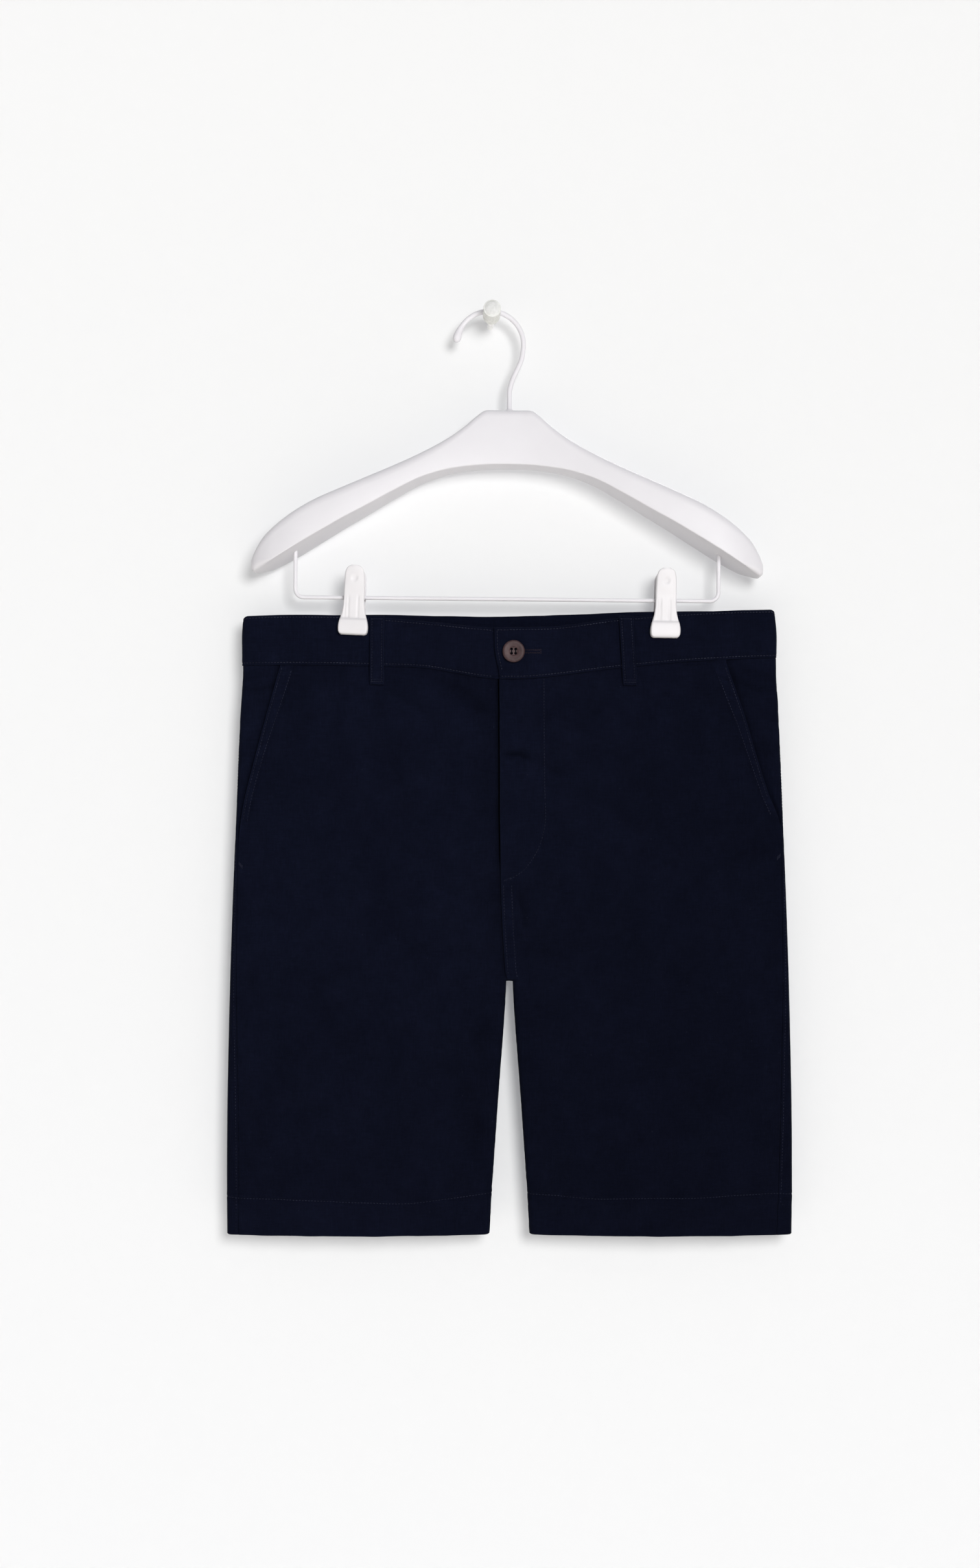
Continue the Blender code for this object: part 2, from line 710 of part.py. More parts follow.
# ================================================================ hanger and peg
def hung(x, y, z):
    """A point of the level hanger, turned about the peg to the hanger's tilt. x is from its centre."""
    turn = Matrix.Rotation(HANGER_TILT, 3, "Y")
    return turn @ Vector((GARMENT_X + x, y, z))


def arm_ring(x, sign):
    top, bottom = table(ARM, "x", x, "top"), table(ARM, "x", x, "bottom")
    depth, drop = table(ARM, "x", x, "depth"), table(ARM, "x", x, "drop")
    middle = mix(HANGER_Y, MID_Y, smooth(x / 150.0))
    front, back = middle - depth / 2, middle + depth / 2
    height = top - bottom
    soft = min(5.5, height * 0.3)
    lip = min(1.6, height * 0.1)
    outline = (
        (front, bottom + lip),
        (front + lip, bottom),
        (back - lip, bottom - drop),
        (back, bottom - drop + lip),
        (back, top - soft),
        (back - soft * 0.3, top - soft * 0.3),
        (back - soft, top),
        (front + soft, top),
        (front + soft * 0.3, top - soft * 0.3),
        (front, top - soft),
    )
    return [hung(sign * x, y, z) for y, z in outline]


def hanger_body():
    reach = [0, 12, 19.5, 26, 31, 37, 44, 52, 62, 72, 83, 93, 106, 118.5, 135, 148, 157.5, 167, 176]
    reach += [184, 191.8, 197, 201.6, 204.8, 207.4, 209.2, 210.2]
    rings = [arm_ring(x, -1.0) for x in reversed(reach[1:])] + [arm_ring(x, 1.0) for x in reach]
    return loft("hanger_body", rings, "hanger")


def hanger_hook():
    """The shank rises from the body, swings out and turns over the peg, to a blunt tip."""
    shank = ((0.7, -77.4 + GAP), (0.6, -68.0), (0.9, -59.0), (3.2, -50.6), (6.8, -42.6), (10.2, -34.6))
    points = [hung(px, HANGER_Y, pz) for px, pz in shank]
    for degrees in (*range(-8, 147, 11), 152, 157, 162, 167, 172, 176):
        turn = math.radians(degrees)
        across, up = HOOK_RADIUS * math.cos(turn), HOOK_RADIUS * math.sin(turn)
        points.append(Vector((HOOK_CENTRE_X + across, HANGER_Y, HOOK_CENTRE_Z + up)))
    return wire("hanger_hook", points, WIRE, "wire", HOOK_TIP)


def hanger_bar():
    """The U-shaped wire that the clips slide on."""
    corner = BAR_X - BAR_BEND
    arm_z = table(ARM, "x", BAR_X, "bottom") - table(ARM, "x", BAR_X, "drop") / 2
    side = [(BAR_X, arm_z - 3 * GAP), (BAR_X, mix(arm_z, BAR_Z, 0.4))]
    for n in range(5):
        turn = math.radians(22.5 * n)
        side.append((corner + BAR_BEND * math.cos(turn), BAR_Z + BAR_BEND - BAR_BEND * math.sin(turn)))
    level_points = [(x, BAR_Z) for x in (120.0, 60.0, 0.0, -60.0, -120.0)]
    path = side + level_points + [(-x, z) for x, z in reversed(side)]
    return wire("hanger_bar", [hung(x, MID_Y, z) for x, z in path], BAR_WIRE, "wire")


def clip_lever(name, x, facing, lean):
    """One half of a spring clip: a broad jaw below, a neck, and a rounded finger tab above."""
    c, s = math.cos(math.radians(lean)), math.sin(math.radians(lean))
    rings = []
    for row in LEVER:
        chamfer = min(1.2, (row.outer - row.inner) * 0.35)
        outline = (
            (-row.half, row.inner),
            (-row.half, row.outer - chamfer),
            (-row.half + chamfer, row.outer),
            (row.half - chamfer, row.outer),
            (row.half, row.outer - chamfer),
            (row.half, row.inner),
        )
        z = row.z
        rings.append([hung(x + c * px + s * z, MID_Y + facing * py, BAR_Z + c * z - s * px) for px, py in outline])
    return loft(name, rings, "clip")


def clip_spring(name, x):
    """The coil between the two levers, on the bar."""
    bm = bmesh.new()
    profile = [(-SPRING_HALF, SPRING_RADIUS), (SPRING_HALF, SPRING_RADIUS)]
    inner = BAR_WIRE + GAP
    rings = []
    for side, radius in (*profile, (SPRING_HALF, inner), (-SPRING_HALF, inner)):
        ring = []
        for n in range(16):
            turn = 2 * math.pi * n / 16
            across, up = radius * math.cos(turn), radius * math.sin(turn)
            ring.append(bm.verts.new(hung(x + side, MID_Y + across, BAR_Z + up) * MM))
        rings.append(ring)
    for low, high in zip(rings, rings[1:] + rings[:1]):
        for n in range(16):
            m = (n + 1) % 16
            bm.faces.new((low[n], low[m], high[m], high[n]))
    bmesh.ops.recalc_face_normals(bm, faces=bm.faces)
    return object_from(name, bm, "spring")


def wall_peg():
    rings = []
    for row in PEG:
        centre = Vector((row.out * PEG_TILT_X, -row.out, row.out * PEG_TILT_Z))
        ring = []
        for n in range(20):
            turn = 2 * math.pi * n / 20
            ring.append(centre + Vector((math.cos(turn), 0.0, math.sin(turn))) * row.r)
        rings.append(ring)
    return loft("wall_peg", rings, "peg")


def main():
    for side in ("left", "right"):
        front_panel(side)
        back_panel(side)
        pocket_facing(side)
        waistband(side)
    fly_underlap()
    zip_tape()
    for loop in LOOPS:
        belt_loop(loop)
    button()
    hanger_body()
    hanger_hook()
    hanger_bar()
    for clip in CLIPS:
        x = clip.x - BAR_Z * math.tan(HANGER_TILT)
        clip_lever(f"clip_{clip.side}_front", x, -1.0, clip.lean)
        clip_lever(f"clip_{clip.side}_back", x, 1.0, clip.lean)
        clip_spring(f"clip_{clip.side}_spring", x)
    wall_peg()


clear_scene()
SHORTS = collection("bermuda_shorts_on_clip_hanger")
CUTTERS = collection("cutters")
main()
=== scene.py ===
"""Looks for the bermuda shorts on a clip hanger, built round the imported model.

Lengths are in millimetres until they reach Blender. The origin is the middle of the peg's flat back face on
the wall, +X to the right, +Z up, and the shorts stand out from the wall along -Y. The garment's own x runs
from its centre line. "Left" and "right" are the wearer's, so the left leg lies at +X.
"""

import math
from collections import namedtuple

import bmesh
import bpy
import numpy as np
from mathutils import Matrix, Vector


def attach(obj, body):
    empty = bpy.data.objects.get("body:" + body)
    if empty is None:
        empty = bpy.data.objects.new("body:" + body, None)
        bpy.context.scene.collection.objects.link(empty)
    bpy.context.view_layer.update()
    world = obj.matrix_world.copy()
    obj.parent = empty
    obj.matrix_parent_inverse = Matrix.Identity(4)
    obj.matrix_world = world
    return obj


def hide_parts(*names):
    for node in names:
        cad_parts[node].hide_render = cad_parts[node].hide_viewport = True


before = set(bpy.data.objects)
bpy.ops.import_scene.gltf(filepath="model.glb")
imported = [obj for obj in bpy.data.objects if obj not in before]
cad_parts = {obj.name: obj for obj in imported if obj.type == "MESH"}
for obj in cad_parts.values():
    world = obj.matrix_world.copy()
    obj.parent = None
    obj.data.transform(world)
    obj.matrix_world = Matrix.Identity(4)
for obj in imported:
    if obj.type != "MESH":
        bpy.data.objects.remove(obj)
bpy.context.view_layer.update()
MM = 0.001

# ---------------------------------------------------------------- garment: the same sizes as the CAD part
GAP = 0.3
GARMENT_X = 15.8  # the garment's centre line, right of the peg
MID_Y = -24.0  # the plane halfway between front and back cloth
CROTCH_Z = -548.2
HEM_Z = -756.8
CLOTH = 1.5
HEM_CLOTH = 2.8
BAND_CLOTH = 2.4
BAND_PROUD = 0.6
FOLD = 4.2  # radius of the soft fold at each side and inseam
PRESSED = 2.0  # half depth where a clip presses front and back together
CLIP_X = 129.0
CLIP_REACH = 15.0
CLIP_FADE_X = 46.0
CLIP_FADE_Z = 60.0
PRESSED_TO_Z = -268.0
FLY_BOTTOM_Z = -466.0
UNDER = CLOTH + GAP
SEAM = 0.06  # half the space at a seam along a fold

Level = namedtuple("Level", "z edge inseam swell roll_right roll_left")
LEVELS = (
    Level(-240.0, 218.0, 2.6, 6.6, 0.0, 0.0),
    Level(-262.0, 220.0, 2.6, 6.8, 0.0, 0.0),
    Level(-290.0, 219.9, 2.6, 7.2, 0.0, 0.0),
    Level(-343.0, 222.6, 2.6, 8.0, 0.3, 0.2),
    Level(-407.0, 225.2, 2.6, 8.2, 1.8, 1.4),
    Level(-471.0, 227.9, 2.6, 7.6, 4.0, 3.8),
    Level(-548.0, 230.5, 2.6, 7.0, 5.6, 5.6),
    Level(-648.0, 232.7, 9.5, 7.0, 9.4, 9.6),
    Level(-712.0, 233.1, 13.9, 7.2, 10.4, 11.8),
    Level(-757.0, 232.7, 16.7, 7.4, 9.8, 13.4),
)
Waist = namedtuple("Waist", "x top seam back_top")
WAIST = (
    Waist(-220.0, -247.8, -288.4, -247.8),
    Waist(-160.0, -246.4, -287.9, -246.6),
    Waist(-110.0, -248.4, -288.9, -246.0),
    Waist(-70.0, -252.6, -291.0, -246.0),
    Waist(-20.0, -258.0, -299.5, -246.2),
    Waist(15.0, -258.0, -300.0, -245.6),
    Waist(44.0, -256.4, -297.0, -245.0),
    Waist(90.0, -249.4, -290.6, -243.9),
    Waist(146.0, -244.6, -285.2, -243.2),
    Waist(221.0, -242.2, -281.9, -242.2),
)
BAND_HEIGHT = 41.0
BAND_END_TOP_Z = -258.0
PANEL_TOP_Z = -291.0  # about where the panels meet the waistband
HEM_ROW_Z = -726.0  # about where the hem is sewn
HEM_DEPTH = 30.0
Opening = namedtuple("Opening", "z x")
POCKETS = {
    "right": (
        Opening(-289, 188.9),
        Opening(-343, 203.8),
        Opening(-393, 216.9),
        Opening(-414, 220.9),
        Opening(-436, 223.6),
    ),
    "left": (
        Opening(-286, 178.2),
        Opening(-330, 193.4),
        Opening(-362, 202.8),
        Opening(-394, 213.0),
        Opening(-408, 219.0),
        Opening(-421, 223.9),
    ),
}
FACING_TUCK = 24.0
FACING_RISE = 12.0
FLY_EDGE = (Opening(-288, -8.6), Opening(-466, -7.4), Opening(-540, -3.6), Opening(-549, -1.0))
BAND_END_X = -12.6
BAND_UNDERLAP_X = 30.0
UNDERLAP_X = 34.0
ZIP_WIDTH = 24.0
FLY_LIFT = 0.9
FLY_SINK = 1.9
FLY_GAP = 0.75  # the dark space beside the lapping edge
LAP_LIFT = 1.4

# Soft folds: a ridge or, below zero, a trough, from one end to the other. lean makes one flank steeper and
# waver bends the line.
Crease = namedtuple("Crease", "face x0 z0 x1 z1 width height lean waver")
CREASE_ROWS = (
    # the CAD part's own
    ("front", (
        (-78, -300, -20, -352, 10, 1.1, 0.3, 1.5),
        (-62, -300, -12, -330, 5, -0.9, 0.3, 1.0),
        (-128, -296, -126, -400, 12, 1.0, 0.0, 2.0),
        (128, -296, 124, -410, 13, 0.9, 0.0, 2.0),
        (-40, -620, -22, -690, 9, -1.1, -0.3, 1.5),
        (46, -690, 30, -745, 12, -1.0, 0.2, 1.5),
    )),
    ("back", (
        (-128, -300, -112, -440, 14, 1.2, 0.2, 2.0),
        (128, -300, 110, -420, 14, 1.1, -0.2, 2.0),
        (-60, -470, -24, -540, 11, -1.1, 0.3, 2.0),
        (62, -462, 26, -536, 11, -1.0, -0.3, 2.0),
    )),
    # smaller ones of the front
    ("front", (
        (-5, -361.6, 15, -363.2, 2.3, -1.35, 0.5, 0.8),
        (13, -362.6, 44, -378, 3.4, -0.80, 0.3, 1.0),
        (44, -376, 78, -396, 6, -0.50, 0.2, 1.5),
        (0, -352, 26, -353, 4.5, 0.55, 0.2, 1.0),
        (0, -375, 22, -378, 5, 0.40, 0.0, 1.0),
        (-103, -303, -66, -333, 4.5, -0.75, 0.4, 2.0),
        (-96, -312, -60, -345, 5, 0.45, 0.2, 2.0),
        (-50, -302, -24, -317, 4, -0.60, 0.3, 1.0),
        (-23, -318, -21, -420, 8, -0.75, 0.2, 2.5),
        (-36, -330, -34, -440, 9, 0.40, 0.2, 3.0),
        (92, -352, 148, -438, 20, -0.90, 0.2, 5.0),
        (60, -398, 98, -450, 12, 0.45, 0.2, 4.0),
        (7.5, -475, 13, -503, 2.6, -0.75, 0.5, 0.8),
        (-14, -470, -13, -520, 5, -0.60, 0.2, 1.5),
        (-22, -560, -24, -650, 6, -0.55, -0.3, 2.0),
        (-150, -440, -128, -540, 16, 0.45, 0.2, 5.0),
        (150, -306, 176, -322, 5, -0.45, 0.3, 1.5),
        (150, -640, 172, -730, 12, -0.50, 0.2, 4.0),
        (-110, -318, -84, -420, 9, -0.40, 0.0, 3.0),
        (-150, -300, -168, -372, 7, 0.45, 0.2, 2.0),
        (152, -298, 170, -356, 6, 0.45, 0.2, 1.5),
        (100, -304, 78, -372, 6, 0.40, -0.2, 1.5),
        (66, -300, 58, -348, 5, -0.35, 0.0, 1.5),
        (-186, -420, -150, -520, 13, 0.50, 0.2, 4.0),
        (-120, -450, -60, -560, 15, -0.50, 0.2, 5.0),
        (186, -430, 140, -530, 13, 0.45, -0.2, 4.0),
        (118, -450, 62, -556, 15, -0.50, -0.2, 5.0),
        (12, -500, 62, -476, 6, 0.55, 0.2, 2.0),
        (-12, -506, -66, -470, 6, 0.50, 0.2, 2.0),
        (10, -524, 78, -520, 6, -0.45, 0.2, 2.0),
        (-10, -528, -82, -516, 6, -0.45, 0.2, 2.0),
        (-150, -600, -170, -716, 14, 0.45, 0.2, 3.0),
        (-96, -620, -104, -720, 13, -0.45, 0.0, 3.0),
        (96, -600, 110, -720, 14, 0.45, 0.0, 3.0),
        (168, -610, 158, -716, 12, -0.40, 0.0, 3.0),
        (-212, -560, -206, -660, 5, 0.35, 0.0, 1.5),
        (214, -570, 206, -680, 5, 0.35, 0.0, 1.5),
    )),
    # and of the back
    ("back", (
        (-96, -302, -62, -352, 5, 0.55, 0.2, 1.5),
        (96, -302, 66, -350, 5, 0.55, -0.2, 1.5),
        (-40, -298, -36, -344, 6, -0.45, 0.0, 1.5),
        (40, -298, 38, -340, 6, -0.45, 0.0, 1.5),
        (-160, -330, -190, -420, 9, 0.55, 0.2, 3.0),
        (160, -330, 188, -430, 9, 0.55, -0.2, 3.0),
        (-8, -400, -70, -368, 8, 0.55, 0.2, 3.0),
        (8, -410, 74, -380, 8, 0.50, -0.2, 3.0),
        (-10, -502, -92, -462, 6, 0.65, 0.3, 2.5),
        (10, -508, 96, -470, 6, 0.60, -0.3, 2.5),
        (-10, -530, -100, -514, 6, -0.55, 0.2, 2.5),
        (10, -532, 104, -518, 6, -0.55, -0.2, 2.5),
        (-60, -590, -80, -700, 13, 0.55, 0.2, 4.0),
        (64, -590, 76, -700, 13, 0.55, -0.2, 4.0),
        (-150, -560, -128, -690, 15, -0.50, 0.0, 5.0),
        (150, -560, 132, -690, 15, -0.50, 0.0, 5.0),
        (-196, -480, -204, -620, 9, 0.45, 0.0, 3.0),
        (198, -480, 206, -630, 9, 0.45, 0.0, 3.0),
    )),
)
CREASES = [Crease(face, *row) for face, rows in CREASE_ROWS for row in rows]

# Each belt loop: the face it is on, its place across, and how far its lower end lies to the side of its top.
Loop = namedtuple("Loop", "name face x lean")
LOOPS = (
    Loop("belt_loop_front_right", "front", -109.0, 0.0),
    Loop("belt_loop_front_left", "front", 97.4, 3.2),
    Loop("belt_loop_back_left", "back", 104.0, 0.0),
    Loop("belt_loop_back_centre", "back", 0.0, 0.0),
    Loop("belt_loop_back_right", "back", -104.0, 0.0),
)
LOOP_WIDTH = 12.0
LOOP_LENGTH = 58.0
LOOP_CLOTH = 1.6
LOOP_BELOW_BAND = 15.5
LOOP_BOW = 1.5
BUTTON_X = 3.2
BUTTON_Z = -278.2
BUTTON_RADIUS = 9.1
BUTTON_THICK = 3.2

# ---------------------------------------------------------------- hanger and peg
HANGER_TILT = math.radians(0.55)
HANGER_Y = -20.5
WIRE = 2.05
HOOK_RADIUS = 27.8
HOOK_CENTRE_X = -0.3
HOOK_CENTRE_Z = -22.0
BAR_Z = -233.1
BAR_X = 174.6
BAR_WIRE = 1.65
BAR_BEND = 7.0
Arm = namedtuple("Arm", "x top bottom depth drop")
ARM = (
    Arm(0.0, -77.4, -123.0, 19.0, 0.0),
    Arm(12.0, -77.4, -123.2, 19.0, 0.0),
    Arm(19.5, -77.9, -123.6, 19.2, 0.0),
    Arm(26.0, -82.4, -124.2, 19.6, 0.0),
    Arm(37.0, -92.0, -125.6, 20.6, 0.0),
    Arm(52.0, -102.7, -128.6, 22.6, 0.0),
    Arm(72.0, -114.0, -135.6, 26.0, 0.2),
    Arm(93.0, -124.6, -146.9, 30.0, 0.5),
    Arm(118.5, -136.4, -161.7, 34.0, 0.8),
    Arm(135.0, -144.0, -171.0, 36.6, 1.1),
    Arm(157.5, -154.5, -184.5, 39.2, 1.5),
    Arm(176.0, -165.5, -195.7, 39.2, 1.7),
    Arm(191.8, -177.4, -205.2, 34.4, 1.4),
    Arm(201.6, -187.2, -210.4, 27.6, 0.9),
    Arm(207.4, -196.8, -212.9, 20.0, 0.5),
    Arm(210.2, -203.4, -211.4, 13.0, 0.2),
)
Lever = namedtuple("Lever", "z half inner outer")
LEVER = (
    Lever(-31.3, 9.6, 3.4, 7.0),
    Lever(-30.5, 11.0, 2.95, 8.2),
    Lever(-28.6, 12.0, 2.95, 8.8),
    Lever(-24.0, 12.2, 2.95, 8.9),
    Lever(-19.5, 11.4, 2.95, 8.6),
    Lever(-17.6, 10.8, 4.6, 7.5),
    Lever(-12.0, 9.3, 5.2, 7.8),
    Lever(-4.0, 8.5, 5.6, 8.6),
    Lever(4.0, 8.5, 5.8, 9.2),
    Lever(14.0, 8.2, 7.2, 10.4),
    Lever(19.4, 7.7, 8.4, 11.2),
    Lever(23.2, 6.1, 9.2, 11.7),
    Lever(25.0, 3.2, 9.8, 11.6),
)
# Where each clip sits on the bar, from the garment's centre line, and how far it leans, in degrees.
Clip = namedtuple("Clip", "side x lean")
CLIPS = (Clip("left", 128.4, 0.3), Clip("right", -127.5, 2.05))
SPRING_HALF = 5.2
PEG_TILT_X = math.tan(math.radians(2.2))
PEG_TILT_Z = math.tan(math.radians(1.5))
PEG_LENGTH = 42.4
# The hook's rod swells before its rounded tip: distances from the tip, and shares of the rod's radius.
Tip = namedtuple("Tip", "d share")
HOOK_TIP = (
    Tip(0.0, 0.35),
    Tip(0.5, 0.85),
    Tip(1.4, 1.3),
    Tip(3.2, 1.62),
    Tip(6.0, 1.6),
    Tip(10.0, 1.32),
    Tip(15.0, 1.06),
    Tip(19.0, 1.0),
)
SIGN = {"left": 1.0, "right": -1.0}


# ================================================================ small helpers
def smooth(t):
    t = np.clip(t, 0.0, 1.0)
    return t * t * (3.0 - 2.0 * t)


def mix(a, b, t):
    return a + (b - a) * t


def bell(d, width):
    """1 at no distance, falling away on both sides of it."""
    return np.exp(-((d / width) ** 2))


def curve(rows, key, column):
    """A smooth curve through one column of a table, read at heights or places given as an array."""
    rows = sorted(rows, key=lambda row: getattr(row, key))
    keys = np.array([getattr(row, key) for row in rows], float)
    values = np.array([getattr(row, column) for row in rows], float)
    low = np.maximum(np.arange(len(keys)) - 1, 0)
    high = np.minimum(np.arange(len(keys)) + 1, len(keys) - 1)
    slopes = (values[high] - values[low]) / (keys[high] - keys[low])

    def at(x):
        x = np.clip(np.asarray(x, float), keys[0], keys[-1])
        i = np.clip(np.searchsorted(keys, x, side="right") - 1, 0, len(keys) - 2)
        span = keys[i + 1] - keys[i]
        t = (x - keys[i]) / span
        return (
            (2 * t**3 - 3 * t**2 + 1) * values[i]
            + (t**3 - 2 * t**2 + t) * slopes[i] * span
            + (3 * t**2 - 2 * t**3) * values[i + 1]
            + (t**3 - t**2) * slopes[i + 1] * span
        )

    return at


LEVEL = {column: curve(LEVELS, "z", column) for column in Level._fields[1:]}
WAIST_AT = {column: curve(WAIST, "x", column) for column in Waist._fields[1:]}
OPENING = {side: curve(rows, "z", "x") for side, rows in POCKETS.items()}
FLY_AT = curve(FLY_EDGE, "z", "x")
ARM_AT = {column: curve(ARM, "x", column) for column in Arm._fields[1:]}


def edge_at(z):
    return LEVEL["edge"](z)


def side_seam(side, z):
    return edge_at(z) - LEVEL["roll_" + side](z)


def rounding(d, radius):
    return np.sqrt(np.maximum(0.0, 1.0 - (1.0 - np.clip(d / radius, 0.0, 1.0)) ** 2))


def arc(d, radius):
    """Length along the side fold from its tip to the distance d in from the edge."""
    inside = radius * np.arccos(np.clip(1.0 - np.maximum(d, 0.0) / radius, -1.0, 1.0))
    return np.where(d < radius, inside, radius * math.pi / 2 + d - radius)


def along_fold(s, radius):
    """The distance in from the edge at a length s from the fold's tip."""
    s = np.asarray(s, float)
    quarter = radius * math.pi / 2
    return np.where(s < quarter, radius * (1.0 - np.cos(np.minimum(s, quarter) / radius)), radius + s - quarter)


def waves(s, pitch, seed):
    """An uneven ripple between about -1 and 1 along a length s."""
    total = 0.0
    for n, (share, size) in enumerate(((1.0, 0.5), (1.73, 0.3), (0.61, 0.35), (2.9, 0.15))):
        total = total + size * np.sin(2 * math.pi * share * s / pitch + seed * (1.7 + n) + n * 2.1)
    return total


def uneven(x, z, seed):
    """The slight waviness of hanging cloth."""
    total = 0.0
    for n, (kx, kz, size) in enumerate(
        (
            (0.021, 0.009, 0.34),
            (-0.013, 0.017, 0.30),
            (0.034, -0.012, 0.16),
            (0.052, 0.020, 0.09),
            (-0.047, 0.031, 0.07),
            (0.011, 0.058, 0.06),
            (0.085, -0.025, 0.035),
        )
    ):
        total = total + size * np.sin(2 * math.pi * (kx * x + kz * z) + seed * (1.3 + 0.7 * n))
    return total


FOLD_GAIN = 1.45


def crease_height(x, z, face, weight=lambda crease: 1.0):
    total = np.zeros(np.broadcast(x, z).shape)
    for n, c in enumerate(CREASES):
        if c.face != face:
            continue
        length = math.hypot(c.x1 - c.x0, c.z1 - c.z0)
        ux, uz = (c.x1 - c.x0) / length, (c.z1 - c.z0) / length
        along = (x - c.x0) * ux + (z - c.z0) * uz
        t = along / length
        across = (x - c.x0) * uz - (z - c.z0) * ux + c.waver * np.sin(2.4 * t * math.pi + n)
        width = c.width * (1.0 + 0.25 * np.sin(3.1 * t + n))
        u = across / width
        u = u * (1.0 + c.lean * np.tanh(u))
        ends = smooth((t + 0.25) / 0.5) * smooth((1.25 - t) / 0.5)
        total = total + FOLD_GAIN * weight(c) * c.height * ends * np.exp(-(u**2))
    return total


def crease_light_and_shade(x, z, face):
    """Painted light and shade along the creases: paler on a ridge and darker in a trough, the more so in a
    sharp one.
    """
    return crease_height(x, z, face, lambda crease: 0.95 / (crease.width + 2.2))


# ================================================================ the garment's surface
def pressed(x, z):
    """1 where a clip holds front and back together, fading to 0 away from it."""
    below = np.maximum(0.0, PRESSED_TO_Z - z) / CLIP_FADE_Z
    most = 0.0
    for centre in (-CLIP_X, CLIP_X):
        beside = np.maximum(0.0, np.abs(x - centre) - CLIP_REACH) / CLIP_FADE_X
        most = np.maximum(most, np.exp(-(beside**2)) * np.exp(-(below**1.3)))
    return most


def half_depth(x, z, face, proud=0.0):
    """Distance of the cloth's outer face from the middle plane, at a place on the front or back."""
    edge = edge_at(z) + proud
    inseam = LEVEL["inseam"](z) - proud
    radius = FOLD + proud
    body = smooth((z - CROTCH_Z) / 110.0)
    side = rounding(edge - np.abs(x), radius)
    from_slit = np.hypot(np.maximum(np.abs(x) - inseam, 0.0), np.maximum(z - CROTCH_Z, 0.0))
    inner = rounding(from_slit, radius)
    across = np.clip((np.abs(x) - inseam) / (edge - inseam), 0.0, 1.0)
    leg_swell = 4.0 * across * (1.0 - across)
    body_swell = np.maximum(0.0, 1.0 - (x / edge) ** 2)
    swell = LEVEL["swell"](z) * mix(leg_swell, body_swell, body)
    soft = crease_height(x, z, face) + uneven(x, z, 2.0 if face == "front" else 5.0)
    depth = radius * side * inner + swell + soft * np.minimum(1.0, swell / 2.0)
    thin = PRESSED + proud
    return np.where(depth > thin, thin + (depth - thin) * (1.0 - pressed(x, z)), depth)


def fly_lift(x, z):
    """The lapping edge of the fly stands up a little over the cloth beside it."""
    beside = bell(x - FLY_AT(z), 12.0)
    return FLY_LIFT * beside * smooth((z - FLY_BOTTOM_Z) / 20.0)


def fly_sink(x, z):
    """The right front dips just before it goes under the fly's edge."""
    beside = np.exp(-(np.maximum(FLY_AT(z) - x, 0.0) / 2.6) ** 1.5)
    return -FLY_SINK * beside * smooth((z - FLY_BOTTOM_Z - 4.0) / 16.0)


def band_lift(x, side):
    over = LAP_LIFT * (1.0 - smooth((x - BAND_END_X) / 60.0))
    if side == "left":
        return over
    return (over - BAND_CLOTH - GAP) * smooth((x - BAND_END_X + 8.0) / 6.0)


# ================================================================ meshes
SHORTS = []  # every piece that rides on the frame


def mesh_object(name, points, faces, material, sharp=55.0):
    """points in millimetres. Each piece rides on the one body."""
    mesh = bpy.data.meshes.new(name)
    mesh.from_pydata((np.asarray(points, float).reshape(-1, 3) * MM).tolist(), [], faces)
    mesh.validate()
    mesh.shade_smooth()
    mesh.set_sharp_from_angle(angle=math.radians(sharp))
    obj = bpy.data.objects.new(name, mesh)
    bpy.context.scene.collection.objects.link(obj)
    obj.data.materials.append(material)
    SHORTS.append(obj)
    return obj


def quads(rows, columns, base=0, flip=False):
    i, j = np.meshgrid(np.arange(rows - 1), np.arange(columns - 1), indexing="ij")
    a = base + i * columns + j
    b, c, d = a + 1, a + columns + 1, a + columns
    found = np.stack([a, d, c, b] if flip else [a, b, c, d], axis=-1).reshape(-1, 4)
    return found.tolist()


def shell(name, outer, inner, material, wear=None):
    """A closed wall between two grids of points, its outer and inner face. wear makes the outer one paler or
    darker: partly rubbed edges, partly painted light and shade along creases, seams, gaps and folds.
    """
    rows, columns = outer.shape[:2]
    count = rows * columns
    middle = (rows // 2, columns // 2)
    across = outer[middle[0], middle[1] + 1] - outer[middle]
    down = outer[middle[0] + 1, middle[1]] - outer[middle]
    flip = np.dot(np.cross(across, down), outer[middle] - inner[middle]) < 0
    faces = quads(rows, columns, 0, flip) + quads(rows, columns, count, not flip)
    ring = [(0, j) for j in range(columns)] + [(i, columns - 1) for i in range(1, rows)]
    ring += [(rows - 1, j) for j in range(columns - 2, -1, -1)] + [(i, 0) for i in range(rows - 2, 0, -1)]
    for (i0, j0), (i1, j1) in zip(ring, ring[1:] + ring[:1]):
        a, b = i0 * columns + j0, i1 * columns + j1
        faces.append((a, b, b + count, a + count) if flip else (b, a, a + count, b + count))
    points = np.concatenate([outer.reshape(-1, 3), inner.reshape(-1, 3)])
    obj = mesh_object(name, points, faces, material)
    if wear is not None:
        values = np.concatenate([np.broadcast_to(wear, (rows, columns)).reshape(-1), np.zeros(count)])
        obj.data.attributes.new("wear", "FLOAT", "POINT").data.foreach_set("value", values.astype(np.float32))
    return obj


